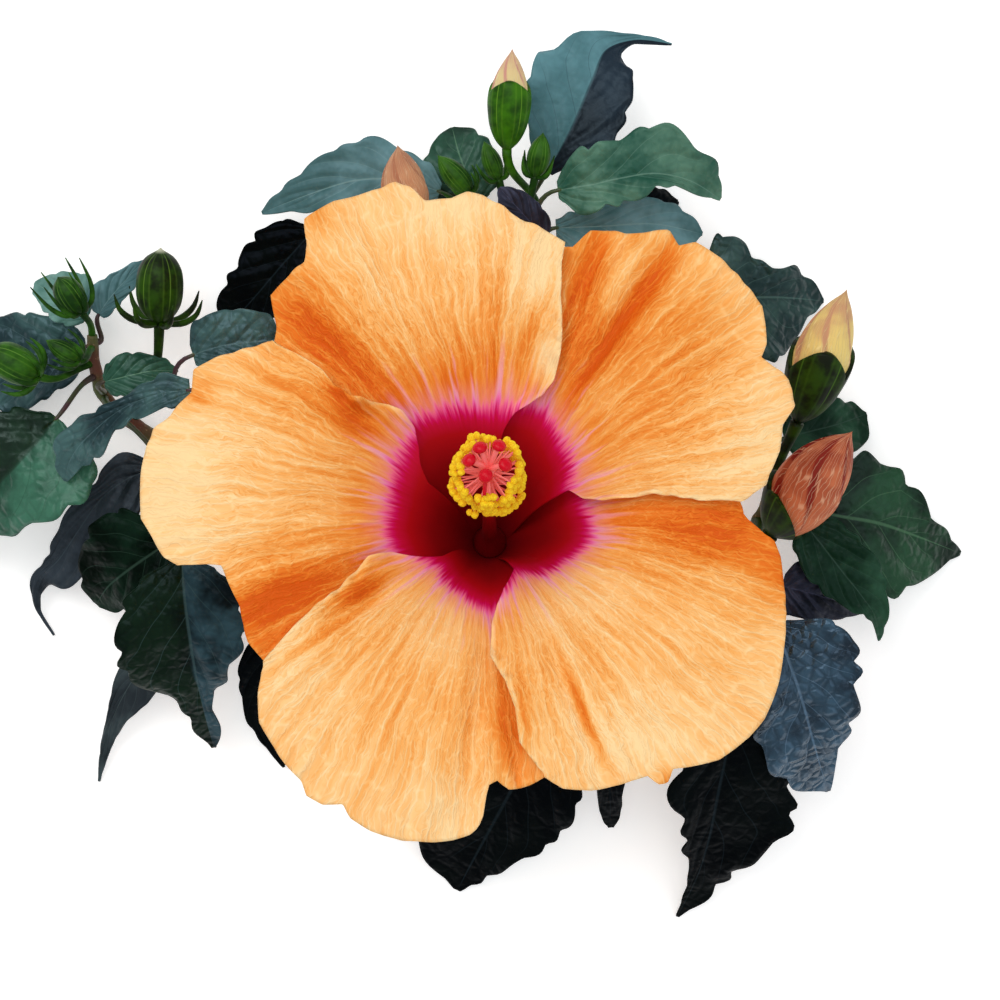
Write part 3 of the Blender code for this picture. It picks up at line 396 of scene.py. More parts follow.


# Rims as (degrees, radius), free edges as (radius, half angle), the free edge's turned lips
# as (radius, half length, height), and folds and painted shading as mounds, whose last number
# is a fold's height in mm, or how much deeper the orange is painted there: above 0 mostly
# painted shade, in folds and under a neighbour's edge, below 0 painted light on lit patches;
# a few broad patches near the eye are the petals' own deeper or paler orange.
PETALS = {
    "petal_top": dict(
        compass=107,
        rim=(
            (72, 58), (77, 60), (80, 61), (84, 62), (87, 65), (91, 68), (94, 69), (97, 68), (102, 69),
            (104, 73), (106, 75), (111, 75), (117, 76), (123, 75), (125, 70), (127, 67), (136, 67),
            (138, 64), (140, 61), (143, 59), (150, 56),
        ),
        over=(
            (4, 27), (14, 23), (17, 25), (20, 27.5), (23, 32), (25, 38), (27.5, 43.5), (31, 45), (37, 42.5),
            (47, 36.5), (54, 34), (62, 33),
        ),
        lips=((30, 7, 1.6), (44, 5, 0.8)),
        folds=(
            (137, 55, 6, 16, -2.2), (120, 62, 4, 14, 1.2), (84, 50, 5, 20, 1.4), (98, 60, 3, 12, -1.0),
            (70, 31, 5, 8, -1.6), (104, 48, 2.5, 20, 0.6), (90, 44, 2.5, 20, -0.7),
        ),
        painted_shading=(
            (134, 56, 7, 17, 0.55), (133, 36, 8, 12, 0.25), (122, 74, 6, 5, 0.3), (78, 52, 7, 12, -0.35),
            (67, 35, 7, 5, -0.5), (97, 66, 12, 8, -0.2), (76, 38, 4, 9, 0.3), (88, 38, 3, 14, 0.25),
            (108, 29, 26, 9, 0.25),
        ),
    ),
    "petal_upper_right": dict(
        compass=36,
        rim=(
            (-4, 56), (0, 58), (3, 59), (9, 63), (14, 65), (17, 69), (22, 70), (28, 67), (30, 70), (33, 72),
            (36, 74), (52, 74), (54, 71.5), (57, 73), (59, 71), (62, 68), (67, 67), (70, 65), (72, 60),
            (78, 58),
        ),
        over=(
            (4, 27), (14, 22), (19.6, 21.7), (22, 31), (26, 35), (36, 34.8), (45, 37.2), (54, 37.4),
            (60, 33),
        ),
        lips=((26, 5, 1.2), (36, 6, 0.9)),
        folds=(
            (54, 56, 3.2, 24, -2.8), (60, 60, 4, 18, 1.8), (30, 62, 3, 14, -1.0), (12, 50, 5, 20, 1.2),
            (67, 54, 2.5, 14, -1.4), (42, 60, 3, 16, 0.8),
        ),
        painted_shading=(
            (54, 60, 2.6, 20, 0.6), (53, 38, 4, 12, 0.4), (67, 56, 3.5, 12, 0.45), (61, 40, 5, 10, 0.35),
            (16, 62, 12, 10, -0.2), (4, 48, 7, 26, -0.15), (38, 50, 16, 18, 0.08), (32, 62, 9, 9, 0.12),
            (60, 68, 3, 5, 0.2), (46, 56, 6, 16, 0.2), (30, 44, 14, 12, 0.1), (38, 54, 30, 26, 0.08),
        ),
    ),
    "petal_lower_right": dict(
        compass=319,
        rim=(
            (278, 57), (281, 61), (284, 64), (289, 66), (299.3, 68), (300, 70.6), (301.6, 71.4),
            (303, 70.3), (303.6, 69.5), (306, 71), (311, 74), (317, 75), (321, 75), (327, 73), (334, 70),
            (339, 68), (344, 66), (349, 64), (352, 62), (355, 55), (361, 53),
        ),
        over=(
            (4, 27), (15, 24), (17, 31), (19.7, 38.8), (23.5, 44.5), (27.6, 47.6), (34.5, 48.5), (40, 44),
            (46, 42), (53, 42), (60, 38),
        ),
        lips=((20, 4, 0.8), (44, 8, 0.8)),
        folds=(
            (350, 44, 6, 20, -1.8), (292, 54, 2.4, 20, -1.2), (297, 56, 3, 18, 0.9), (324, 60, 5, 14, 1.2),
            (308, 62, 3, 12, -0.8),
        ),
        painted_shading=(
            (352, 48, 6, 20, 0.42), (345, 66, 5, 7, 0.4), (293.5, 52, 1.4, 14, 0.4),
            (302, 34, 1.6, 10, 0.25), (279, 48, 2.5, 8, 0.35), (300, 60, 9, 9, -0.25),
            (310, 27, 26, 11, -0.3), (338, 36, 8, 12, 0.15), (301.5, 71, 1.6, 3, 0.5),
            (335, 62, 10, 8, 0.08), (346, 50, 8, 16, 0.12),
        ),
    ),
    "petal_bottom": dict(
        compass=246,
        rim=(
            (214, 56), (217, 59), (221, 64), (225, 68), (228, 69), (233, 71), (237, 72), (239, 74),
            (242, 74), (245, 72), (247, 74), (251, 75), (256, 75), (261, 74), (264, 73), (266.9, 71.6),
            (268.2, 70), (269, 67.6), (269.3, 64.4), (269.9, 61.4), (271.7, 60.4), (274, 62.5), (278, 62),
            (281, 61), (290, 60),
        ),
        over=(
            (4, 27), (16, 24), (21, 32), (25, 39), (29.7, 40.3), (33, 37), (37.5, 34.3), (43, 33.3),
            (52, 31), (60, 29),
        ),
        lips=((30, 7, 2.4), (44, 5, 0.8)),
        folds=(
            (272, 58, 2.5, 10, 1.6), (277, 60, 2, 10, -1.4), (223, 54, 5, 16, 1.4), (262, 52, 4, 20, 1.0),
            (214, 33, 5, 7, 1.6), (221, 36, 4, 9, -1.4), (267, 48, 3, 16, -1.0),
        ),
        painted_shading=(
            (275, 46, 4, 14, 0.35), (216, 34, 4, 6, 0.55), (221, 44, 3.5, 8, 0.2), (226, 56, 10, 10, -0.14),
            (262, 66, 8, 8, -0.15), (266, 42, 3, 14, 0.08), (240, 62, 14, 9, -0.04),
            (246, 27, 24, 11, -0.28), (246, 54, 26, 24, 0.1),
        ),
    ),
    "petal_left": dict(
        compass=177,
        rim=(
            (141, 56), (144, 58), (148, 62), (151, 65), (154, 68), (156, 70), (160, 68.5), (165, 71),
            (168, 74), (173, 75), (183, 75), (186, 73), (190, 71), (192, 68), (192.6, 63), (194, 59),
            (203, 58), (207, 59), (211, 60), (218, 59),
        ),
        over=(
            (4, 27), (17, 24), (20, 31), (22, 38), (25, 43.5), (28.5, 44), (31.4, 41), (34, 36.5),
            (37, 33.8), (42, 33.4), (46, 35), (60, 33),
        ),
        lips=((36, 5, 3.4), (27, 4, 1.0)),
        folds=(
            (144, 38, 3, 5, -2.2), (149, 42, 4, 8, 1.8), (206, 48, 6, 18, -2.6), (186, 60, 4, 14, 1.0),
            (159, 66, 3, 5, -1.2), (141, 31, 3, 4, 1.4),
        ),
        painted_shading=(
            (205, 50, 7, 18, 0.7), (160, 67, 3.5, 4, 0.4), (144, 40, 2.2, 3.5, 0.55), (148, 34, 7, 8, 0.25),
            (178, 66, 14, 11, -0.26), (188, 26, 14, 8, 0.12), (150, 52, 8, 10, 0.26), (150, 36, 8, 7, 0.25),
            (192, 44, 4, 12, 0.15),
        ),
    ),
}
UNDER_EDGE = ((4, 50), (7, 66), (12, 70), (20, 66), (30, 56), (38, 50), (49, 45), (60, 41))
EYE_EDGE = (
    (0, 21), (7, 20), (45, 22.5), (62, 24.5), (95, 23), (111, 24), (130, 25), (175, 22), (192, 23),
    (208, 22), (230, 18.5), (252, 20), (271, 22.5), (295, 17), (319, 20), (342, 23), (360, 21),
)
PETAL_ROWS, PETAL_COLUMNS = 110, 150
RUFFLES = ((9, 0.5, 1.0), (14, 2.1, 0.7), (31, 0.4, 0.2))


def petal_point(petal, across, share):
    """A point of a petal's middle surface, with its angle and radius round the axis."""
    half = petal["over"][-1][1] if across > 0 else UNDER_EDGE[-1][1]
    reach = between(petal["rim"], petal["compass"] - across * half)
    radius = CLAW_RADIUS + (reach - CLAW_RADIUS) * share**1.3
    half = between(petal["over"] if across > 0 else UNDER_EDGE, radius)
    degrees = petal["compass"] - across * half
    angle = math.radians(degrees)
    wave = smooth_step(25.0, 75.0, radius)
    height = funnel_height(radius)
    height += wave * sum(high * math.sin(count * angle + phase) for count, phase, high in RUFFLES)
    height += mound(petal["folds"], degrees, radius) * smooth_step(1.0, 0.8, abs(across))
    rim_near = smooth_step(0.84, 1.0, share)
    edge_near = smooth_step(0.9, 1.0, across) * smooth_step(22.0, 34.0, radius)
    height += 0.45 * rim_near * math.sin(61.0 * angle + 3.0 * math.sin(17.0 * angle))
    frill = 0.5 + 0.8 * math.exp(-(((radius - 29.0) / 9.0) ** 2))
    height += frill * edge_near * math.sin(radius * 1.15 + 2.0 * math.sin(radius * 0.31))
    lip = sum(high * math.exp(-(((radius - out) / long) ** 2)) for out, long, high in petal["lips"])
    height += lip * smooth_step(0.8, 1.0, across)
    place = polar(3.0, angle, radius / 9.0)
    height += 0.7 * noise.noise(place) * wave + 0.35 * noise.noise(place * 3.1) * wave
    slope = math.atan2(funnel_height(radius + 0.5) - funnel_height(radius), 0.5)
    lift = across * 2.2 * smooth_step(4.0, 13.0, radius)
    turned = radius - lift * math.sin(slope)
    return polar(turned, angle, height + lift * math.cos(slope)), degrees, radius


def petal_tone_and_shade(petal, across, degrees, radius):
    """How deep the orange is: 0 at the palest rim, 1 in the deepest fold, with painted shade and painted
    highlight in it.
    """
    tone = between(((15, 0.6), (26, 0.54), (36, 0.45), (50, 0.35), (62, 0.27), (76, 0.2)), radius)
    # Painted shade: deeper orange on the side that lies under the next petal, and the listed painted
    # shading.
    tone += 0.26 * smooth_step(-0.45, -0.92, across) + mound(petal["painted_shading"], degrees, radius)
    # Painted highlight: a paler line along the free edge, towards the middle.
    return tone - 0.3 * smooth_step(0.94, 1.0, across) * smooth_step(62.0, 44.0, radius)


def own_value(shader, name, output):
    """What the mesh's own attribute of this name says at each point."""
    made = add_node(shader, "Attribute")
    made.attribute_name = name
    return made.outputs[output]


def three_parts(vector):
    made = add_node(vector, "SeparateXYZ")
    feed([vector], made.inputs)
    return made.outputs


def chart(first, first_scale, second, second_scale, third=None):
    """A place to read a pattern at, made of two or three values of the piece's own."""
    return wire("CombineXYZ", times(first, first_scale), times(second, second_scale), third)


def colour_ramp(value, stops):
    """Reads a colour off a ramp with (place, colour code) stops, its two ends first."""
    made = add_node(value, "ValToRGB")
    elements = made.color_ramp.elements
    for i, (place, code) in enumerate(stops):
        stop = elements[i] if i < 2 else elements.new(place)
        stop.position = place
        stop.color = paint(code)
    feed([value], made.inputs)
    return made.outputs[0]


petal_skin, petal_shader = new_finish("petal_skin", 0.6, 0.14)
turn, reach, past_eye = three_parts(own_value(petal_shader, "petal_place", "Vector"))
own_tone_and_shade = own_value(petal_shader, "petal_tone_and_shade", "Fac")
face = object_place(petal_shader)

ARC_PER_DEGREE = 0.01745
# Veins fork twice on their way out: each fork runs at an angle from its parent, found as
# the distance, in degrees and then in mm, to the nearest parent and then to its forks.
wander = calc("SUBTRACT", cloud(face, 70.0, 2.0), 0.5)
quiver = calc("SUBTRACT", cloud(face, 420.0, 1.0), 0.5)
fan = plus(turn, times(wander, 7.0))
first_vein = calc("PINGPONG", fan, 5.2)
second_vein = off_from(first_vein, fade(reach, 24.0, 52.0, 0.0, 3.0))
third_vein = off_from(second_vein, fade(reach, 40.0, 70.0, 0.0, 1.4))
per_degree = times(reach, ARC_PER_DEGREE)
first_vein, second_vein, third_vein = (times(v, per_degree) for v in (first_vein, second_vein, third_vein))
vein_lines = calc(
    "MAXIMUM",
    fade(calc("MINIMUM", first_vein, second_vein), 0.05, 0.36, 1.0, 0.0),
    fade(third_vein, 0.04, 0.26, 0.7, 0.0),
)
# Between them lie soft ridges along the petal, and towards the rim, in patches, fine short
# grooves that run together and part again.
log_reach = calc("LOGARITHM", reach, 2.718)
shaky = times_plus(quiver, 1.8, fan)
flat_noise = {"noise_dimensions": "2D"}
ridges = wire("TexNoise", chart(fan, 0.5, log_reach, 3.2), None, 1.0, 2.0, 0.5, **flat_noise)
groove_place = chart(shaky, 0.8, log_reach, 9.0)
grain = wire("TexNoise", groove_place, None, 1.0, 3.0, 0.55, **flat_noise)
groove_lines = fade(off_from(grain, 0.5), 0.0, 0.04, 1.0, 0.0)
net = wire("TexVoronoi", groove_place, None, 1.3, feature="DISTANCE_TO_EDGE", voronoi_dimensions="2D")
net_lines = times(fade(net, 0.0, 0.16, 1.0, 0.0), fade(past_eye, 2.0, 12.0))
patches = fade(cloud(face, 34.0, 2.0), 0.36, 0.6, 0.35, 1.0)
patches = times(patches, fade(past_eye, 2.0, 18.0, 0.2, 1.0))
patches = times(patches, fade(reach, 52.0, 70.0, 1.0, 0.35))
groove_lines = times(groove_lines, patches)
streaks = wire("TexNoise", chart(turn, 0.42, reach, 0.045), None, 1.0, 3.0, 0.62, **flat_noise)
tone = plus(own_tone_and_shade, fade(streaks, 0.3, 0.7, 0.08, -0.08))
# Painted light and shade on the relief: paler on the ridge crests, deeper in the troughs.
tone = plus(tone, fade(ridges, 0.32, 0.68, 0.06, -0.06))
tone = plus(tone, fade(grain, 0.34, 0.66, -0.03, 0.03))
# Painted shade in the grooves: they are deepened in colour as well as cut into the bump.
tone = times_plus(groove_lines, 0.17, tone)
tone = times_plus(vein_lines, -0.14, tone)
tone = times_plus(net_lines, -0.12, tone)
flame = colour_ramp(
    tone,
    ((0.0, "FDD69C"), (1.0, "D65806"), (0.2, "FCC480"), (0.4, "F7AE5E"), (0.6, "EE9038"), (0.8, "E4741A")),
)
stretch = fade(streaks, 0.3, 0.7, 4.0, 16.0)
near_eye = fade(calc("DIVIDE", past_eye, stretch), 0.0, 1.0, 1.0, 0.0)
halo = times(fade(past_eye, 0.0, 6.0, 0.75, 0.0), streaks)
blush = blend_paint(halo, flame, "F490A0")
rays = wire("TexNoise", chart(fan, 0.3, reach, 0.03, 4.0), None, 1.0, 1.0, 0.5)
lilac = fade(rays, 0.46, 0.66, 0.0, 0.85)
lilac = times(lilac, near_eye)
blush = blend_paint(lilac, blush, "EE9CBE")
waver = plus(fade(streaks, 0.25, 0.75, 0.8, -0.8), fade(ridges, 0.3, 0.7, 0.5, -0.5))
waver = times_plus(lilac, -0.7, waver)
feather = times_plus(waver, fade(past_eye, -5.0, -0.5, 0.1, 1.0), past_eye)
eye = colour_ramp(
    times_plus(feather, 0.0556, 0.944),
    (
        (0.0, "8A0410"), (1.0, "F656B8"), (0.17, "8C0308"), (0.39, "920308"), (0.67, "B00310"),
        (0.81, "C40438"), (0.9, "DA0672"), (0.95, "F010A0"),
    ),
)
colour_skin(petal_shader, blend_paint(fade(feather, -1.8, 2.2, 1.0, 0.0), blush, eye))
crinkle = times_plus(vein_lines, 0.6, times(groove_lines, -0.35))
crinkle = times_plus(net_lines, 0.45, crinkle)
crinkle = times_plus(ridges, 2.4, crinkle)
crinkle = times(crinkle, fade(feather, -2.0, 3.0))
raise_relief(petal_shader, crinkle, 0.45, 0.0004)


def flat_sheet(name, columns, rows):
    """A square sheet, two units wide about the middle, that is bent into a blade."""
    bpy.ops.object.select_all(action="DESELECT")
    bpy.ops.mesh.primitive_grid_add(x_subdivisions=columns, y_subdivisions=rows, size=2.0)
    sheet = bpy.context.object
    sheet.name = name
    return sheet


def thicken(sheet, thickness):
    wall = sheet.modifiers.new("wall", "SOLIDIFY")
    wall.thickness = thickness * MM
    wall.offset = 0.0
    bpy.ops.object.modifier_apply(modifier="wall")
    bpy.ops.object.shade_smooth()


for name, petal in PETALS.items():
    blade = flat_sheet(name + "_blade", PETAL_COLUMNS, PETAL_ROWS)
    blade.data.attributes.new("petal_place", "FLOAT_VECTOR", "POINT")
    blade.data.attributes.new("petal_tone_and_shade", "FLOAT", "POINT")
    places = blade.data.attributes["petal_place"]
    tones_and_shade = blade.data.attributes["petal_tone_and_shade"]
    for vertex in blade.data.vertices:
        across = -vertex.co.x
        point, degrees, radius = petal_point(petal, across, (vertex.co.y + 1.0) / 2.0)
        past = radius - between(EYE_EDGE, degrees % 360.0)
        places.data[vertex.index].vector = (degrees - petal["compass"], radius, past)
        tones_and_shade.data[vertex.index].value = petal_tone_and_shade(petal, across, degrees, radius)
        vertex.co = in_bloom(point)
    thicken(blade, PETAL_WALL)
    settle(blade, name, petal_skin)

# ------------------------------------------------------------------- bloom's column
# A long crimson column stands in the throat and pales to salmon. Threads leave its top
# all round, each with a pair of round yellow anthers, and five short styles end in
# scarlet velvety pads above them.
COLUMN_FOOT, COLUMN_TOP = -1.4, 71.0
STAMENS = 74
GOLDEN_ANGLE = 2.39996

column_skin, column_shader = new_finish("column_skin", 0.42)
column_place = object_place(column_shader)
column_height = three_parts(column_place)[2]
colour_skin(column_shader, blend_paint(fade(column_height, 0.055, 0.082), "8A040E", "FF827E"))
raise_relief(column_shader, cloud(column_place, 900.0), 0.2, 0.0003)

pollen, pollen_shader = new_finish("yellow_pollen", 0.75, 0.3)
grains = cloud(object_place(pollen_shader), 2600.0, 3.0, 0.7)
colour_skin(pollen_shader, blend_paint(fade(grains, 0.3, 0.7), "EAAC00", "FFDE1C"))
raise_relief(pollen_shader, grains, 0.7, 0.0003)

scarlet, scarlet_shader = new_finish("scarlet_velvet", 0.26, 0.15)
nap = cloud(object_place(scarlet_shader), 2400.0, 2.0)
colour_skin(scarlet_shader, blend_paint(nap, "B00014", "DC0824"))
raise_relief(scarlet_shader, nap, 0.3, 0.0002)


def unite(name, pieces):
    """Joins separate pieces into one, under a new name."""
    bpy.ops.object.select_all(action="DESELECT")
    for piece in pieces:
        piece.select_set(True)
    bpy.context.view_layer.objects.active = pieces[0]
    if len(pieces) > 1:
        bpy.ops.object.join()
    pieces[0].name = name
    return pieces[0]


def out_of_bloom(points):
    """The layout positions of points of the bloom's own axes, both in millimetres."""
    return [(in_bloom(point) - LAYOUT) / MM for point in points]


def column_axis(height):
    """The middle of the column, which bends a little towards the branch's tip."""
    return Vector((0.0, 1.9 * smooth_step(15.0, 62.0, height), height))


core_heights = [COLUMN_FOOT + (COLUMN_TOP - COLUMN_FOOT) * i / 24 for i in range(25)]
core_line = out_of_bloom(column_axis(height) for height in core_heights)
core = draw_tube("column_core", core_line, (4.4, 1.9, 1.7, 1.5, 1.4, 1.3, 1.3, 1.4, 1.5), 24)
settle(core, "column", column_skin)

dice = random.Random(7)
threads, anthers = [], []
bpy.ops.object.select_all(action="DESELECT")
bpy.ops.mesh.primitive_ico_sphere_add(subdivisions=2, radius=1.0)
knob = bpy.context.object
for i in range(STAMENS):
    level = i / (STAMENS - 1)
    angle = i * GOLDEN_ANGLE + dice.uniform(-0.2, 0.2)
    low = 57.0 + 12.0 * level + dice.uniform(-0.8, 0.8)
    rise = 0.05 + 0.45 * level + dice.uniform(-0.1, 0.15)
    long = dice.uniform(5.6, 7.0) - 0.5 * level
    way = polar(1.0, angle, rise).normalized()
    root = column_axis(low) + way * 1.0
    bow = root + way * long * 0.55 + Vector((0.0, 0.0, 0.35))
    tip = root + way * long + Vector((0.0, 0.0, dice.uniform(-0.3, 0.6)))
    line = out_of_bloom((root, bow, tip))
    threads.append(draw_tube("thread", smooth_line(line, 5), (0.26, 0.2, 0.16), 6))
    side = way.cross(UP).normalized()
    for lean in (-1, 1):
        at = tip + side * 0.62 * lean + way * 0.3
        size = dice.uniform(0.82, 1.08)
        lobe = knob.copy()
        lobe.data = knob.data.copy()
        for vertex in lobe.data.vertices:
            vertex.co *= 1.0 + 0.22 * noise.noise(vertex.co * 1.3 + at)
        bpy.context.collection.objects.link(lobe)
        stretch = Matrix.Diagonal((size, size * 0.85, size * 0.95, 1.0))
        spin = Matrix.Rotation(dice.uniform(0, 6.28), 4, "Z")
        lobe.data.transform(Matrix.Translation(in_bloom(at)) @ Matrix.Scale(MM, 4) @ spin @ stretch)
        anthers.append(lobe)
bpy.data.objects.remove(knob, do_unlink=True)
threads = unite("stamen_threads", threads)
settle(threads, "column", column_skin)
anthers = unite("anther_pairs", anthers)
bpy.ops.object.shade_smooth()
settle(anthers, "column", pollen)


def round_ball(segments, rings):
    bpy.ops.object.select_all(action="DESELECT")
    bpy.ops.mesh.primitive_uv_sphere_add(segments=segments, ring_count=rings, radius=1.0)
    return bpy.context.object


styles, pads = [], []
PAD_PLACES = ((-1.7, 5.0, 75.5), (2.2, 5.3, 76.0), (-3.9, 2.5, 75.0), (3.5, 1.3, 76.0), (-0.5, -1.1, 76.5))
for x, y, z in PAD_PLACES:
    root = column_axis(COLUMN_TOP - 1.0) + Vector((x * 0.12, (y - 1.9) * 0.12, 0.0))
    bow = Vector((x * 0.45, 1.9 + (y - 1.9) * 0.45, COLUMN_TOP + 2.0))
    line = out_of_bloom((root, bow, (x, y, z)))
    styles.append(draw_tube("style", smooth_line(line, 8), (0.8, 0.6, 0.48), 10))
    pad = round_ball(24, 14)
    lean = Vector((x, y, 7.0)).to_track_quat("Z", "Y").to_matrix().to_4x4()
    flat = Matrix.Diagonal((1.5, 1.5, 1.05, 1.0))
    pad.data.transform(BLOOM @ Matrix.Scale(MM, 4) @ Matrix.Translation((x, y, z + 0.5)) @ lean @ flat)
    bpy.ops.object.shade_smooth()
    pads.append(pad)
line = out_of_bloom(((-0.4, 1.2, 71.0), (-0.6, -1.0, 73.5), (-0.8, -4.2, 72.5)))
spur = draw_tube("style_spur", smooth_line(line, 8), (0.5, 0.45, 0.4), 8)
settle(spur, "column", scarlet)
styles = unite("style_branches", styles)
settle(styles, "column", column_skin)
pads = unite("stigma_pads", pads)
settle(pads, "column", scarlet)

# --------------------------------------------------------- bloom's calyx and its stalk
# Under the petals a green cup with five pointed lobes holds the claws. Seven narrow
# bracts spread below it, and a stalk carries it up from the main stem.
green_skin, green_shader = new_finish("bud_green", 0.42, 0.45)
green_place = object_place(green_shader)
green_tone = fade(cloud(green_place, 160.0, 4.0), 0.35, 0.65)
colour_skin(green_shader, blend_paint(green_tone, "3F6A1C", "77A03C"))
raise_relief(green_shader, cloud(green_place, 700.0), 0.35, 0.0003)

CALYX_FLOOR, CALYX_RADIUS, CUP_WALL = -2.2, 5.2, 0.6
FLOOR_SHARE = 0.25
BLOOM_BRACTS = 7
BLOOM_SEAT = 0.24


def calyx_point(angle, share):
    """A point of the cup's wall: share runs from the floor's middle, 0, to the lobes, 1."""
    lobe = abs(math.cos(angle * 2.5)) ** 1.5
    if share < FLOOR_SHARE:
        return polar(CALYX_RADIUS * share / FLOOR_SHARE, angle, CALYX_FLOOR)
    up = (share - FLOOR_SHARE) / (1.0 - FLOOR_SHARE)
    height = up * (12.0 + 10.0 * lobe)
    radius = CALYX_RADIUS + 0.34 * height + 0.12 * math.cos(angle * 5.0)
    return polar(radius, angle, CALYX_FLOOR + height)


def bract_line(angle, root_radius, root_height, reach):
    steps = ((0.0, 0.0), (0.55, 0.05), (1.0, 0.45))
    return [polar(root_radius + reach * out, angle, root_height + reach * up) for out, up in steps]


cup = round_ball(80, 48)
bpy.ops.object.mode_set(mode="EDIT")
bpy.ops.mesh.select_all(action="SELECT")
bpy.ops.mesh.bisect(plane_co=(0, 0, 0.001), plane_no=(0, 0, 1), clear_outer=True)
bpy.ops.object.mode_set(mode="OBJECT")
for vertex in cup.data.vertices:
    angle = math.atan2(vertex.co.y, vertex.co.x)
    share = 1.0 - math.asin(min(1.0, max(0.0, -vertex.co.z))) / (math.pi / 2.0)
    vertex.co = in_bloom(calyx_point(angle, share))
thicken(cup, CUP_WALL)
cup_pieces = [cup]
for i in range(BLOOM_BRACTS):
    line = bract_line(2.0 * math.pi * (i + 0.5) / BLOOM_BRACTS, 3.3, CALYX_FLOOR - 0.4, 12.0)
    line = out_of_bloom(smooth_line(line, 10))
    cup_pieces.append(draw_tube("bract", line, (0.85, 0.8, 0.7, 0.2), 8))
cup = unite("bloom_calyx_cup", cup_pieces)
settle(cup, "bloom_calyx", green_skin)

calyx_way = BLOOM.to_3x3() @ UP
foot = out_of_bloom([(0.0, 0.0, CALYX_FLOOR - 0.5)])[0]
start, out = MAIN.seat(BLOOM_SEAT, MAIN.place(BLOOM_SEAT)[0] + calyx_way)
stalk = draw_tube("bloom_stalk", stalk_line(start, out, foot, calyx_way, 26), (1.6, 1.6, 1.8, 2.3), 16)
settle(stalk, "bloom_pedicel", green_skin)

# -------------------------------------------------------------------------------- buds
# Buds of all ages stand at the tips: a green calyx of five joined valves with narrow
# bracts curving up round its foot, and on the older ones the furled petals twisting out
# of its torn mouth, cream and pink or salmon, with pale veins.
# Each: limb and share, foot, tip and radius; the calyx mouth as shares of the length at
# its valleys and lobes, how much higher it stands on the left, and the number of lobes;
# then how many bracts, how far they reach, and how steeply they rise.
BUDS = {
    "bud_top": (MAIN, 1.0, (1.5, 80.0, 31.0), (2.8, 103.0, 39.0), 4.9, (0.58, 0.73, 0.0, 2.4), 0, 0.0, 0.0),
    "bud_top_small_left": (MAIN, 0.93, (-6.5, 71.0, 26.0), (-14.5, 80.0, 30.0), 2.9, None, 5, 4.5, 1.0),
    "bud_top_small_middle": (MAIN, 0.965, (0.0, 74.5, 22.5), (-3.8, 84.0, 25.5), 2.3, None, 4, 4.5, 1.1),
    "bud_top_small_right": (MAIN, 0.98, (8.0, 74.5, 28.0), (10.0, 85.0, 32.0), 2.7, None, 4, 4.5, 1.1),
    "bud_under_petal": (
        MAIN, 0.78, (-20.5, 61.0, 33.0), (-23.3, 80.8, 40.0), 5.8, (0.2, 0.34, 0.0, 5), 0, 0.0, 0.0,
    ),
    "bud_left": (LEFT, 0.74, (-80.2, 40.8, 22.0), (-79.0, 58.8, 28.0), 5.5, None, 7, 9.6, 0.72),
    "bud_left_small": (LEFT, 1.0, (-97.6, 43.4, 25.0), (-102.6, 51.8, 30.0), 3.4, None, 6, 6.0, 1.9),
    "bud_left_far": (LEFT, 0.92, (-107.0, 28.5, 26.0), (-119.0, 35.0, 30.0), 4.4, None, 7, 6.5, 0.95),
    "bud_left_young": (LEFT, 0.965, (-97.6, 32.3, 25.0), (-105.9, 37.3, 27.5), 2.4, None, 5, 4.6, 1.3),
    "bud_right_upper": (
        RIGHT, 1.0, (69.0, 17.0, 26.0), (79.3, 48.2, 38.0), 7.2, (0.42, 0.61, -0.03, 3), 0, 0.0, 0.0,
    ),
    "bud_right_lower": (
        RIGHT, 0.80, (61.5, -9.0, 33.0), (79.5, 15.5, 45.0), 8.6, (0.24, 0.31, 0.13, 3), 0, 0.0, 0.0,
    ),
}
BARREL = (0.0, 0.56, 0.85, 0.97, 1.0, 0.98, 0.88, 0.6, 0.0)
SPINDLE = (0.0, 0.54, 0.84, 0.97, 1.0, 0.92, 0.73, 0.41, 0.0)
BUD_SLEEVE = 1.12
MOUTH_AT = 0.86


def bud_coordinates(shader):
    """A bud's own coordinates: valves counted round it, and shares of its length."""
    return three_parts(own_value(shader, "bud_place", "Vector"))[:2]


def furled_finish(name, ground_code, deep_code, vein_code):
    """The skin of furled petals: veined along their length, deeper towards the tip."""
    skin, shader = new_finish(name, 0.55, 0.15)
    around, share = bud_coordinates(shader)
    place = object_place(shader)
    shiver = times(cloud(place, 240.0, 2.0), 0.25)
    lines = chart(plus(times_plus(share, 0.55, around), shiver), 9.0, share, 3.0)
    lines = wire("TexVoronoi", lines, None, 1.0, feature="DISTANCE_TO_EDGE", voronoi_dimensions="2D")
    lines = fade(lines, 0.01, 0.1, 1.0, 0.0)
    seam = off_from(calc("FRACT", times_plus(share, 1.75, plus(around, 10.0))), 0.5)
    mottle = fade(cloud(place, 120.0, 3.0), 0.35, 0.65, -0.3, 0.3)
    depth = plus(fade(share, 0.45, 1.0, 0.1, 0.6), mottle)
    depth = plus(depth, fade(seam, 0.34, 0.48, 0.0, 0.7))
    tone = blend_paint(fade(depth, 0.0, 1.0), ground_code, deep_code)
    colour_skin(shader, blend_paint(times(lines, 0.5), tone, vein_code))
    raise_relief(shader, lines, 0.5, 0.0003)
    return skin


CREAM = furled_finish("cream_furl", "E4C878", "C4906C", "F0DC9C")
PINK_CREAM = furled_finish("pink_cream_furl", "DEC68C", "CC9080", "EEDCB0")
SALMON = furled_finish("salmon_furl", "C46E48", "821E10", "ECBC98")
PEACH = furled_finish("peach_furl", "C48C66", "AC7052", "E6C09C")
FURLS = {
    "bud_top": PINK_CREAM,
    "bud_under_petal": PEACH,
    "bud_right_upper": CREAM,
    "bud_right_lower": SALMON,
}


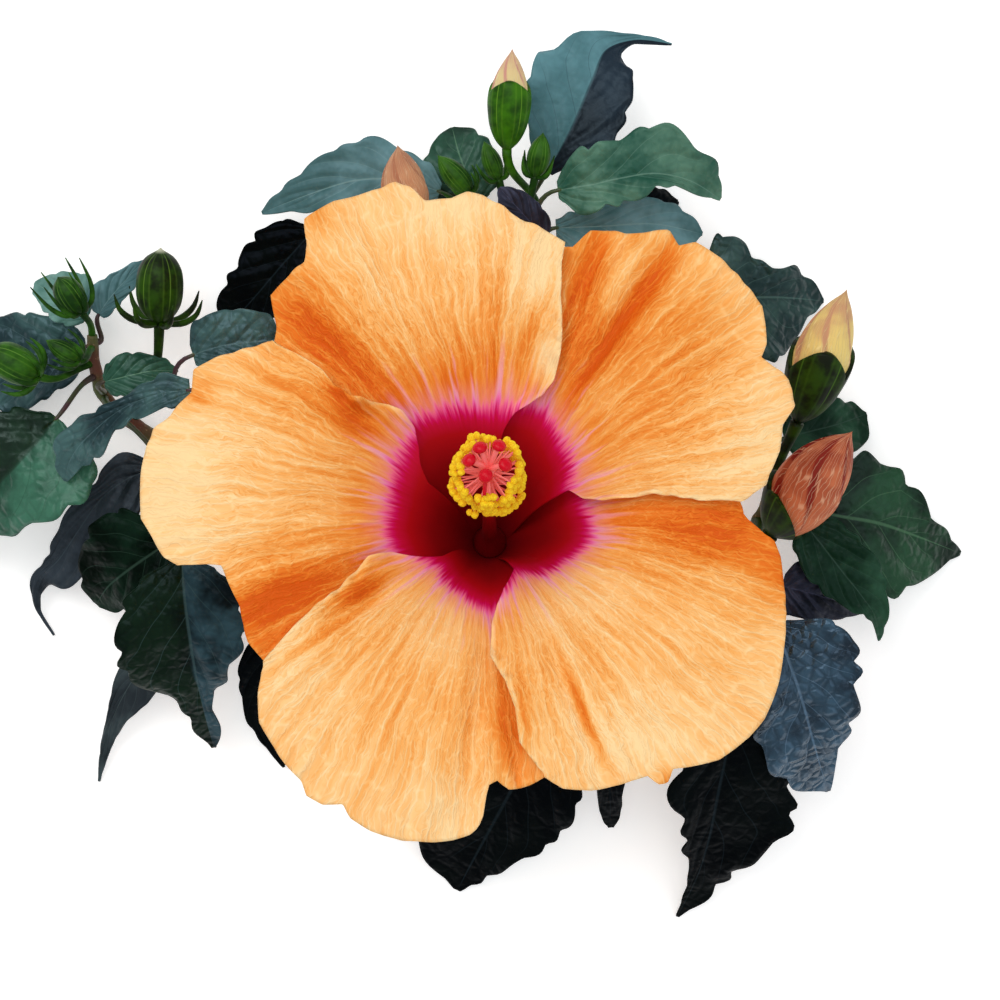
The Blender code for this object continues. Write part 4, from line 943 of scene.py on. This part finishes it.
def calyx_finish(name, dark_code, light_code, edge_code, tip_highlight=0.0):
    """Green skin with a pale line where two valves meet and faint ribs between, and at the tip, where
    asked, a whitish painted highlight.
    """
    skin, shader = new_finish(name, 0.45, 0.12)
    around, share = bud_coordinates(shader)
    joint = fade(off_from(calc("FRACT", around), 0.5), 0.0, 0.035, 1.0, 0.0)
    ribs = calc("PINGPONG", times(around, 2.0), 0.5)
    mottle = cloud(object_place(shader), 190.0, 3.0, 0.6, (1.0, 1.0, 0.6))
    tone = blend_paint(fade(mottle, 0.36, 0.64), dark_code, light_code)
    tone = blend_paint(times(fade(ribs, 0.38, 0.5), 0.16), tone, edge_code)
    tone = blend_paint(times(joint, fade(share, 0.1, 0.5, 0.0, 0.65)), tone, edge_code)
    # Painted highlight: the tip pales towards a whitish grey-green.
    colour_skin(shader, blend_paint(fade(share, 0.93, 0.975, 0.0, tip_highlight), tone, "C6C8B0"))
    raise_relief(shader, times_plus(ribs, 0.6, mottle), 0.35, 0.0004)
    return skin


FRESH = calyx_finish("fresh_calyx", "1A4002", "366C06", "6C9A2A")
OLIVE = calyx_finish("olive_calyx", "0C1402", "243E03", "466C1A")
BARRED = calyx_finish("barred_calyx", "0E1A02", "264604", "688E30", 0.8)
YOUNG = calyx_finish("young_calyx", "14360A", "326214", "709E40")
CALYX_SKINS = {
    "bud_top": FRESH,
    "bud_left": BARRED,
    "bud_right_upper": OLIVE,
    "bud_right_lower": OLIVE,
    "bud_under_petal": OLIVE,
}


def shape_bud(name, stand, rule, segments=60, rings=44):
    """A ball reshaped along the bud's axis by rule(angle, share) -> (radius, height)."""
    body = round_ball(segments, rings)
    body.name = name
    places = body.data.attributes.new("bud_place", "FLOAT_VECTOR", "POINT")
    for vertex in body.data.vertices:
        share = math.acos(max(-1.0, min(1.0, -vertex.co.z))) / math.pi
        angle = math.atan2(vertex.co.y, vertex.co.x)
        radius, height = rule(angle, share)
        if abs(vertex.co.z) > 0.9999:
            radius = 0.0
        places.data[vertex.index].vector = (angle * 5.0 / (2.0 * math.pi), share, 0.0)
        vertex.co = stand @ (polar(radius, angle, height) * MM)
    bpy.ops.object.shade_smooth()
    return body


for name, (limb, share, foot, tip, radius, mouth, bract_count, bract_reach, rise) in BUDS.items():
    foot, tip = Vector(foot), Vector(tip)
    axis = (tip - foot).normalized()
    length = (tip - foot).length
    # One valve's middle looks up, so the stand's own X axis is turned there.
    upward = (UP - axis * axis.z).normalized()
    turn_up = Matrix((upward, axis.cross(upward), axis)).transposed().to_4x4()
    stand = Matrix.Translation(spot(foot)) @ turn_up
    profile = SPINDLE if mouth or radius < 3.0 else BARREL

    def calyx_rule(angle, at):
        valve = abs(math.cos(angle * 2.5))
        rib = 0.05 * (valve**0.7 - 0.7)
        if not mouth:
            return radius * along(profile, at) * (1.0 + rib * smooth_step(0.0, 0.3, at)), length * at
        valley, peak, slant, lobes = mouth
        valve = abs(math.cos(angle * lobes / 2.0))
        top = valley + (peak - valley) * valve**0.8 - slant * math.sin(angle)
        if at < MOUTH_AT:
            here = top * at / MOUTH_AT
            flare = 1.0 + 0.05 * smooth_step(0.55, 1.0, at / MOUTH_AT)
            return radius * along(profile, here) * (1.0 + rib) * flare, length * here
        here = top * (1.0 - (at - MOUTH_AT) * 2.5)
        return radius * 0.84 * along(profile, here), length * here

    def furl_rule(angle, at):
        lap = ((angle + 2.2 * at) * 5.0 / (2.0 * math.pi)) % 1.0
        return radius / BUD_SLEEVE * along(profile, at) * (0.94 + 0.12 * lap**0.6), length * at

    greens = [shape_bud(name + "_calyx", stand, calyx_rule)]
    for i in range(bract_count):
        angle = 2.0 * math.pi * (i + 0.5) / bract_count
        line = []
        for out, up in ((0.0, 0.0), (0.5, 0.1), (0.85, 0.45), (1.0, 1.0)):
            away = radius * 0.18 + bract_reach * out
            line.append(polar(away, angle, 0.8 + bract_reach * rise * up))
        line = [(stand @ (point * MM) - LAYOUT) / MM for point in smooth_line(line, 10)]
        thick = 0.4 + 0.07 * radius
        greens.append(draw_tube("bract", line, (thick * 0.8, thick, thick, thick * 0.7, 0.12), 8))
    start, out = limb.seat(share, foot)
    width = max(0.8, radius * 0.19)
    line = stalk_line(start, out, foot + axis * 1.3, axis, 18)
    greens.append(draw_tube("stalk", line, (width * 1.1, width, width, width * 1.25), 12))
    green = unite(name + "_green", greens)
    green.data.materials.clear()
    settle(green, name, CALYX_SKINS.get(name, YOUNG))
    if mouth:
        furl = shape_bud(name + "_furl", stand, furl_rule, 90, 60)
        settle(furl, name, FURLS[name])

# ------------------------------------------------------------------------------ leaves
# Broad pointed blades with rounded teeth on thin stalks, glossy and gently blistered
# between few curved veins, with a fine pale midrib and a yellow-green spot where the
# stalk meets the blade. From leaf to leaf they run from grey-green and sea green to
# nearly black: painted sky reflection on the lighter ones, painted shade on the darkest.
VEIN_SLOPE, VEIN_COUNT = 0.42, 5.2


def leaf_finish(name, dark, light, vein, roughness, gloss, gloss_tint, blister=0.5, lit_side=None):
    """The skin of a blade. Its own map runs across in u and from base to tip in v."""
    skin, shader = new_finish(name, roughness, gloss)
    shader.inputs["Specular Tint"].default_value = paint(gloss_tint)
    u, v = three_parts(add_node(shader, "UVMap").outputs[0])[:2]
    place = object_place(shader)
    side = calc("ABSOLUTE", times_plus(u, 2.0, -1.0))
    drift = times(calc("SUBTRACT", cloud(place, 80.0, 1.0), 0.5), 1.3)
    phase = calc("SUBTRACT", v, times(side, VEIN_SLOPE))
    phase = times_plus(phase, VEIN_COUNT, times(drift, side))
    off = off_from(calc("FRACT", plus(phase, 20.0)), 0.5)
    before_tip = fade(v, 0.72, 0.9, 1.0, 0.0)
    branches = times(fade(off, 0.004, 0.028, 1.0, 0.0), fade(side, 0.6, 1.0, 0.7, 0.15))
    branches = times(branches, before_tip)
    midrib = fade(side, 0.01, 0.036, 1.0, 0.0)
    veins = calc("MAXIMUM", midrib, branches)
    net = wire("TexVoronoi", place, None, 330.0, feature="DISTANCE_TO_EDGE")
    dome = fade(net, 0.0, 0.32)
    # Random mottle between the dark and the light colour; its light patches also stand in for painted
    # glints of gloss.
    mottle = cloud(place, 62.0, 4.0, 0.6)
    share = fade(mottle, 0.38, 0.62)
    tone = blend_paint(share, dark, light)
    # Painted light and shade: one half of the blade takes the second pair of colours, a lit copy of the
    # green or a painted blue sheen, and the rest stays darker as painted shade.
    if lit_side:
        half = fade(times_plus(drift, 0.06, u), 0.48, 0.52)
        tone = blend_paint(half, blend_paint(share, lit_side[0], lit_side[1]), tone)
    # Painted shade in the creases between the blisters: near each cell's edge the colour goes towards the
    # dark one.
    tone = blend_paint(times(fade(dome, 0.0, 0.6, 0.3, 0.0), blister), tone, dark)
    tone = blend_paint(times(veins, 0.5), tone, vein)
    heel = times_plus(side, 0.12, v)
    colour_skin(shader, blend_paint(fade(heel, 0.01, 0.055, 0.7, 0.0), tone, "6F8A34"))
    quilt = times(fade(off, 0.0, 0.4), before_tip)
    pucker = times_plus(quilt, 0.35, cloud(place, 170.0, 3.0))
    pucker = times_plus(dome, blister * 0.5, pucker)
    raise_relief(shader, pucker, 0.6, 0.0009)
    return skin


# Lit and shaded copies of one leaf colour: the grey-teal, sea, moss, slate and blue finishes carry painted
# sky reflection, the near-black ones painted shade, and the finishes named shaded are copies for leaves in
# shade.
LIT_TEAL_AND_SHADED_NAVY = leaf_finish(
    "leaf_lit_teal_and_shaded_navy", "0A1018", "1A2632", "1A2A32", 0.42, 0.3, "C4E0F4", 0.2, ("4A747A", "5C8890")
)
LIT_AND_SHADED_GREENS = leaf_finish(
    "leaf_lit_and_shaded_greens", "06180A", "112E18", "14301E", 0.34, 0.4, "CCE8E4", 0.5, ("143C2A", "386A54")
)
SEA = leaf_finish("leaf_sea_green", "3E6264", "62888E", "7C9C9A", 0.42, 0.35, "C4E0F4", 0.25)
MOSS = leaf_finish("leaf_moss", "36645A", "709890", "84A896", 0.4, 0.35, "C8E8E4", 0.4)
GREEN = leaf_finish("leaf_green", "10281A", "2C5240", "6A9272", 0.34, 0.35, "C8E4E4", 0.4)
JADE = leaf_finish("leaf_jade", "1C4C3C", "507864", "6C9080", 0.4, 0.35, "C8E8E0", 0.5)
FERN = leaf_finish("leaf_fern", "1A3E2E", "3C6A56", "78A082", 0.34, 0.35, "C8E4E4", 0.5)
GLADE = leaf_finish("leaf_glade", "06180C", "1E442A", "527A58", 0.34, 0.3, "C8E4DC", 0.5)
SLATE = leaf_finish("leaf_slate", "142A2C", "40605E", "587478", 0.36, 0.45, "BCDCF4", 0.8)
SHADED_SLATE = leaf_finish("leaf_shaded_slate", "102420", "344E48", "4C6A62", 0.36, 0.4, "BCDCEC", 0.8)
DEEP = leaf_finish("leaf_deep_green", "030A04", "10261A", "3A5246", 0.32, 0.05, "C4E0E4", 0.4)
SHADED = leaf_finish("leaf_shaded_green", "10281A", "2A4C38", "3A5246", 0.32, 0.1, "C4E0E4", 0.4)
DEEP_GREEN_AND_BLUE_SHEEN = leaf_finish(
    "leaf_deep_green_and_blue_sheen", "020703", "0E2012", "3E5658", 0.3, 0.1, "C4E0F0", 0.6, ("060E12", "2E4852")
)
NIGHT = leaf_finish("leaf_night", "020302", "060A07", "202C32", 0.4, 0.06, "B4C8F0", 0.5)
INK = leaf_finish("leaf_ink_blue", "020509", "304A5C", "64809A", 0.26, 0.8, "B0D4F8", 1.1)
PLUM = leaf_finish("leaf_plum", "101218", "2A2C3A", "42445C", 0.38, 0.32, "BCC4F0", 0.2)
DUSK = leaf_finish("leaf_dusk", "10161A", "2E363E", "3C4A50", 0.4, 0.35, "C0D4E8", 0.2)
ASH = leaf_finish("leaf_ash", "20262A", "3A4648", "4A5A5A", 0.45, 0.3, "C0D4E4", 0.1)

# Each leaf: the limb and the share along it where its stalk stands; the midrib from base
# to tip; half widths in mm at nine even steps along it, left and then right of the way to
# the tip; degrees its left side is raised; degrees it is folded up; tooth depth; skin.
LEAVES = {
    "leaf_top": (
        MAIN, 0.99,
        ((11.1, 77.6, 19), (15.3, 84.4, 21), (18.8, 91.8, 22), (21.9, 99.2, 22.5), (25, 106, 21),
         (32.3, 109.2, 17), (41, 109, 13)),
        (1.5, 9, 12, 14.5, 14, 8.5, 2.4, 1.2, 0.3), (1.5, 5, 10.5, 11, 10, 8, 2, 1, 0.3),
        0, 12, 1.0, LIT_TEAL_AND_SHADED_NAVY,
    ),
    "leaf_top_right": (
        MAIN, 0.955,
        ((13.3, 71.2, 35), (20.6, 72.1, 37), (27.9, 73.7, 37), (35.6, 74.8, 36), (43.9, 73.7, 32),
         (51.4, 70.3, 26)),
        (2, 7.8, 8.8, 9, 9.9, 11.5, 8.3, 6, 0.5), (2, 6, 5.8, 5.8, 5, 3, 2.3, 1.9, 0.4),
        8, -8, 1.2, JADE,
    ),
    "leaf_top_right_back": (
        MAIN, 0.80, ((24, 63, 8), (34, 69, 6), (43.5, 73, 0.5)),
        (2, 4, 6, 6, 6, 6, 5, 3, 0.5), (2, 4, 6, 6, 6, 6, 5, 3, 0.5),
        0, 8, 0.8, NIGHT,
    ),
    "leaf_top_right_under": (
        MAIN, 0.925, ((13.1, 63.8, 24), (24.7, 64.4, 23), (36.6, 65.2, 20), (48.3, 63.6, 13)),
        (2, 3.5, 5, 5.6, 6, 5.9, 5.4, 3.5, 0.5), (2, 6, 8, 9, 9, 8, 6, 4, 0.5),
        0, 8, 0.7, SEA,
    ),
    "leaf_top_left": (
        MAIN, 0.84,
        ((-14.2, 72.8, 20), (-23.6, 75.5, 20.5), (-34.3, 75.4, 20), (-45.5, 72.3, 18), (-56.7, 68.4, 15)),
        (2, 6, 8, 9, 8, 6.5, 4.3, 2.1, 0.4), (2, 5.4, 7, 9.7, 8.7, 7.6, 5.5, 3.1, 0.5),
        0, 8, 0.7, SEA,
    ),
    "leaf_top_small": (
        MAIN, 0.90, ((-5.3, 71.3, 13), (-7.6, 76.9, 13.5), (-9.8, 82.8, 13), (-11.5, 89.5, 10)),
        (2, 6, 8.5, 9.5, 9.5, 9, 7.5, 4.5, 0.5), (2, 6, 8, 8.5, 8.5, 8, 7, 4.5, 0.5),
        0, 8, 1.2, GREEN,
    ),
    "leaf_top_dark": (
        MAIN, 0.885, ((10.3, 59.4, 38), (6.8, 63.2, 41), (3.2, 67.1, 42), (-0.2, 70.8, 42)),
        (1, 3, 4, 4.2, 4.2, 4, 3.2, 2, 0.4), (1, 3, 4, 4.2, 4.2, 4, 3.2, 2, 0.4),
        0, 8, 0.3, PLUM,
    ),
    "leaf_upper_left": (
        MAIN, 0.68, ((-45.1, 64.3, 11), (-52, 57.1, 9), (-59.1, 49.4, 6), (-67, 41.6, 0.6)),
        (3, 8, 9, 9, 8, 7, 6, 4, 0.5), (3, 8, 9.3, 9.4, 9, 8.3, 7.5, 5.5, 0.5),
        0, 8, 1.4, NIGHT,
    ),
    "leaf_left_inner": (
        LEFT, 0.63, ((-70.9, 33.5, 32), (-64.1, 35.5, 33.5), (-57.1, 36.4, 34), (-50.2, 36.8, 34)),
        (2.5, 6.7, 7.6, 7.9, 7.8, 7.6, 7, 5.5, 0.8), (2.5, 4, 5, 6, 7, 7, 6, 4, 0.6),
        0, 8, 0.3, SLATE,
    ),
    "leaf_left_short": (
        LEFT, 0.85, ((-92.5, 27.6, 26), (-86.7, 28.9, 27.5), (-80.9, 30.1, 27), (-75.5, 30.3, 24)),
        (1.5, 3.8, 5, 5.2, 4.8, 4, 3.2, 2, 0.4), (1.5, 3.6, 4.6, 4.8, 4.4, 3.6, 2.6, 1.4, 0.3),
        0, 8, 0.6, FERN,
    ),
    "leaf_left_front": (
        LEFT, 0.55,
        ((-69.9, 24.8, 45), (-75.6, 24.2, 44.5), (-81.5, 22.6, 43), (-87, 20, 41), (-92, 16.4, 38.5),
         (-96.3, 12.6, 36), (-99.3, 8.5, 33.5), (-100.5, 4.4, 31)),
        (2.5, 3.7, 3.7, 3.5, 3.8, 5.3, 4.4, 2.8, 0.4), (2.5, 4.3, 3, 2.6, 3.2, 4.6, 5.5, 3.2, 0.5),
        0, 8, 0.9, SLATE,
    ),
    "leaf_left_large": (
        LEFT, 0.89,
        ((-103.5, 19.2, 26), (-107.6, 14, 28), (-112.2, 8.6, 28), (-119.1, 2.3, 24), (-128, -5.9, 16),
         (-134, -12, 8)),
        (2, 15, 18, 16.5, 14.3, 11.5, 8, 4, 0.5), (2, 8, 12, 14, 14, 12, 9, 5, 0.5),
        0, 8, 1.6, LIT_AND_SHADED_GREENS,
    ),
    "leaf_left_far": (
        LEFT, 0.96, ((-99.3, 36.8, 11.5), (-109.3, 35.5, 9.5), (-120.7, 33.8, 6), (-134, 32.3, 0.6)),
        (2, 7, 9.3, 11.7, 12.8, 12.8, 11, 7, 0.5), (2, 6.9, 8.8, 9.8, 10.5, 10.8, 10, 7, 0.5),
        0, 8, 0.8, SLATE,
    ),
    "leaf_left_back": (
        LEFT, 0.985, ((-98.8, 43.5, 13), (-102.9, 46.4, 13), (-107.3, 49.4, 12), (-112, 52.3, 9)),
        (1.5, 3.4, 4.6, 5, 4.8, 4.4, 3.8, 2.6, 0.4), (1.5, 5, 7.5, 8.3, 8, 6.5, 4.6, 2.4, 0.4),
        0, 8, 0.7, MOSS,
    ),
    "leaf_left_upper": (
        LEFT, 0.975, ((-95.0, 43.8, 19), (-92.3, 47.8, 18.6), (-88.6, 52.5, 17), (-85, 57.1, 14)),
        (1.5, 4, 5, 4.6, 4, 3.2, 2.4, 1.4, 0.3), (1.5, 2.4, 2.7, 2.8, 2.9, 3, 2.6, 1.6, 0.3),
        0, 8, 0.4, SEA,
    ),
    "leaf_low_left_dark": (
        LEFT, 0.83,
        ((-83, 7.1, 18), (-88.9, 4.7, 18), (-95, 0, 17), (-100.2, -6.7, 14.5), (-105.7, -13.9, 10.5),
         (-110.7, -18.9, 7), (-112.3, -25.8, 4), (-109, -33, 0.8)),
        (3, 8, 9, 9, 8, 6.5, 1.6, 0.5, 0.25), (3, 6.4, 3.8, 4.6, 4.1, 2.2, 2.2, 0.5, 0.25),
        0, 8, 0.6, DUSK,
    ),
    "leaf_low_left_broad": (
        LEFT, 0.65,
        ((-76.6, -9.3, 26), (-81.9, -12.9, 25.5), (-87.6, -16.7, 23), (-92.9, -20.6, 18),
         (-96.6, -24.9, 12)),
        (2.5, 9, 12, 13, 12.5, 11, 8, 5, 1), (2.5, 10, 13, 14, 13, 11, 9, 5.5, 1),
        0, 8, 1.6, DEEP,
    ),
    "leaf_low_left_hanging": (
        LEFT, 0.50,
        ((-72.7, -13.7, 38), (-72.1, -22.4, 37.5), (-71.4, -31.3, 34), (-70.9, -40.3, 27),
         (-70.2, -49.8, 18), (-69, -59.6, 8)),
        (2.5, 11.3, 12.6, 13.2, 10.5, 7, 2.4, 3, 0.7), (2.5, 11, 15, 16.5, 16.5, 13, 5.5, 3.4, 0.7),
        0, 8, 1.8, DEEP_GREEN_AND_BLUE_SHEEN,
    ),
    "leaf_low_left_narrow": (
        LEFT, 0.45,
        ((-83.4, -37.4, 12), (-88.3, -43.3, 10), (-91.9, -49.2, 8), (-94.8, -55.7, 5.5), (-96.6, -62.1, 3),
         (-98, -68.7, 0.6)),
        (3, 6, 6.2, 5, 3.4, 2.3, 1.5, 0.8, 0.3), (3, 4.4, 3.8, 2.6, 1.6, 1.1, 0.9, 0.6, 0.3),
        0, 8, 0.1, ASH,
    ),
    "leaf_low_left_under": (
        LEFT, 0.32, ((-51.2, -33.3, 16), (-56, -43.1, 13), (-57.2, -53.6, 8), (-52.7, -65.1, 2)),
        (2, 6, 7, 7, 6, 5, 4, 2.5, 0.4), (3, 7, 7.4, 6.2, 5, 3.8, 2.2, 1.3, 0.3),
        0, 8, 0.5, NIGHT,
    ),
    "leaf_bottom": (
        MAIN, 0.10, ((11.3, -52.7, 22), (4.3, -65.9, 18), (-2.9, -80.3, 10), (-10.3, -95.3, 0.6)),
        (3, 12, 15, 16, 15, 12.5, 8, 4, 0.6), (3, 11, 15, 17, 18, 18.5, 17, 12, 1),
        0, 8, 1.2, NIGHT,
    ),
    "leaf_bottom_small": (
        MAIN, 0.2, ((25.9, -47.2, 26), (26, -57.1, 25), (26, -67.7, 19), (26.7, -78.6, 10)),
        (2, 4.6, 5, 4.8, 4.2, 3.5, 2.9, 2.3, 0.8), (2, 4.6, 5, 4.8, 4.2, 3.5, 2.9, 2.3, 0.8),
        0, 8, 0.2, NIGHT,
    ),
    "leaf_low_right": (
        RIGHT, 0.4,
        ((55, -44.4, 32), (53, -56.9, 29), (51, -69.8, 23), (49.3, -82.2, 15), (47.1, -91.7, 8),
         (43.3, -101.7, 0.6)),
        (4, 12, 15, 18, 18.5, 12.5, 7.7, 4.3, 0.5), (4, 8, 10, 12, 7.6, 5.5, 2.4, 1.2, 0.3),
        -12, 8, 2.4, NIGHT,
    ),
    "leaf_right_blue": (
        RIGHT, 0.68,
        ((62.1, -28.2, 44), (65.7, -37.4, 43), (69.1, -46.3, 39), (72.5, -56.3, 33), (77.4, -68.6, 20.5)),
        (3, 13.5, 15, 14.8, 12.8, 11.3, 8, 3.2, 0.6), (3, 9, 11, 12, 12, 13, 12, 8, 0.6),
        0, 8, 2.0, INK,
    ),
    "leaf_right_dark": (
        RIGHT, 0.74, ((66.6, -20.3, 20), (75.8, -22.7, 18.5), (88.2, -26.5, 9)),
        (3, 6, 7, 7, 6.5, 6, 5, 3, 0.5), (3, 6, 6.5, 6.5, 6, 5, 3.6, 1.8, 0.4),
        0, 8, 0.4, PLUM,
    ),
    "leaf_right_front": (
        RIGHT, 0.86,
        ((70.4, -4.7, 27), (75, -10.5, 27.5), (79.8, -16.6, 26.5), (84.9, -22.7, 24), (88.5, -27.6, 20.5),
         (90.3, -33.4, 15)),
        (2, 6, 7.5, 8, 8, 6.5, 4, 2, 0.3), (2, 6, 7.5, 7, 6, 4, 2, 0.8, 0.25),
        0, 8, 0.8, SHADED,
    ),
    "leaf_right_large": (
        RIGHT, 0.92,
        ((70.7, -1.9, 21), (80.3, -3.8, 20), (90.3, -5.5, 16.5), (101.1, -8.9, 9.5), (112.4, -13, 0.8)),
        (2.5, 11, 15, 15.5, 13.5, 10, 6.5, 3.2, 0.5), (2.5, 11, 15, 17.5, 18.5, 17, 12.5, 6, 0.5),
        0, 8, 2.0, GLADE,
    ),
    "leaf_right_back": (
        RIGHT, 0.985, ((67.7, 14.8, 15), (74.4, 16.5, 13), (81.3, 18.3, 10), (88.8, 20.9, 5)),
        (2, 6, 7, 7.2, 7, 6.5, 5.5, 3.4, 0.5), (2, 6, 7, 8, 8.5, 8.5, 8, 6, 0.5),
        0, 8, 1.2, SHADED,
    ),
    "leaf_upper_right": (
        RIGHT, 0.95, ((47.9, 48.9, 12), (57.6, 48.7, 11.5), (67.6, 49, 8), (79, 48.6, 0.6)),
        (4, 14, 14.5, 12.3, 8.3, 7.6, 7.4, 4.4, 0.5), (4, 14, 15, 16, 16, 15, 10.5, 4, 0.5),
        0, 8, 1.4, SHADED_SLATE,
    ),
}
LEAF_ROWS, LEAF_COLUMNS = 60, 24
LEAF_WALL = 0.4

stalk_skin, stalk_shader = new_finish("leaf_stalk", 0.45)
stalk_tint = fade(cloud(object_place(stalk_shader), 80.0), 0.46, 0.64)
colour_skin(stalk_shader, blend_paint(stalk_tint, "2E401A", "3E1C26"))

for number, (name, leaf) in enumerate(LEAVES.items()):
    limb, share, rib, left, right, turn, fold, tooth_depth, skin = leaf
    dice = random.Random(100 + number)
    line = smooth_line(rib, LEAF_ROWS)
    teeth = max(4, round((line[-1] - line[0]).length / (5.0 + 1.6 * tooth_depth)))
    shift = dice.uniform(0.0, 1.0)
    blade = flat_sheet(name + "_blade", LEAF_COLUMNS, LEAF_ROWS)
    for vertex in blade.data.vertices:
        row = round((vertex.co.y + 1.0) / 2.0 * LEAF_ROWS)
        across, v = -vertex.co.x, row / LEAF_ROWS
        ahead = (line[min(row + 1, LEAF_ROWS)] - line[max(row - 1, 0)]).normalized()
        side = UP.cross(ahead).normalized()
        normal = ahead.cross(side)
        edge = abs(across)
        step = (v * teeth + shift + 0.18 * math.sin(v * 19.0 + number + across)) % 1.0
        scallop = math.sin(math.pi * step**1.5)
        wide = along(left if across > 0 else right, v)
        tooth = min(0.3 * wide, tooth_depth) * (scallop - 0.6) * smooth_step(0.6, 1.0, edge)
        wide = max(0.3, wide + tooth * smooth_step(0.0, 0.1, v))
        angle = math.radians((turn + math.copysign(fold, across)) * smooth_step(0.0, 0.12, v))
        phase = (v - VEIN_SLOPE * edge) * VEIN_COUNT + 20.0
        pillow = abs(phase % 1.0 - 0.5) * 2.0
        calm = smooth_step(0.0, 0.3, v) * smooth_step(1.0, 0.75, v)
        roomy = min(1.0, wide / 12.0)
        off_rib = smooth_step(0.0, 0.25, edge)
        swell = 0.3 * (pillow**0.8 - 0.5) * off_rib * smooth_step(1.0, 0.8, edge) * calm * roomy
        swell += 0.9 * edge**2 * math.sin(v * 14.0 + 3.0 * across + number) * calm * (0.4 + 0.6 * roomy)
        ripple = noise.noise(line[row] * 0.11 + side * wide * across * 0.11)
        swell += 0.8 * ripple * smooth_step(0.1, 0.4, edge) * roomy
        swell -= 0.3 * smooth_step(0.10, 0.0, edge) * roomy
        place = line[row] + (side * math.cos(angle) + normal * math.sin(angle)) * wide * across
        place += (normal * math.cos(angle) - side * math.sin(angle)) * swell
        vertex.co = spot(place)
    thicken(blade, LEAF_WALL)
    blade.data.materials.append(skin)
    start, out = limb.seat(share, rib[0])
    stalk_points = stalk_line(start, out, line[0], (Vector(rib[1]) - Vector(rib[0])).normalized(), 16)
    stalk_points += line[1:3]
    petiole = draw_tube("petiole", stalk_points, (0.9, 0.65, 0.6, 0.58, 0.35), 10)
    petiole.data.materials.append(stalk_skin)
    made = unite(name + "_blade", [blade, petiole])
    settle(made, name)
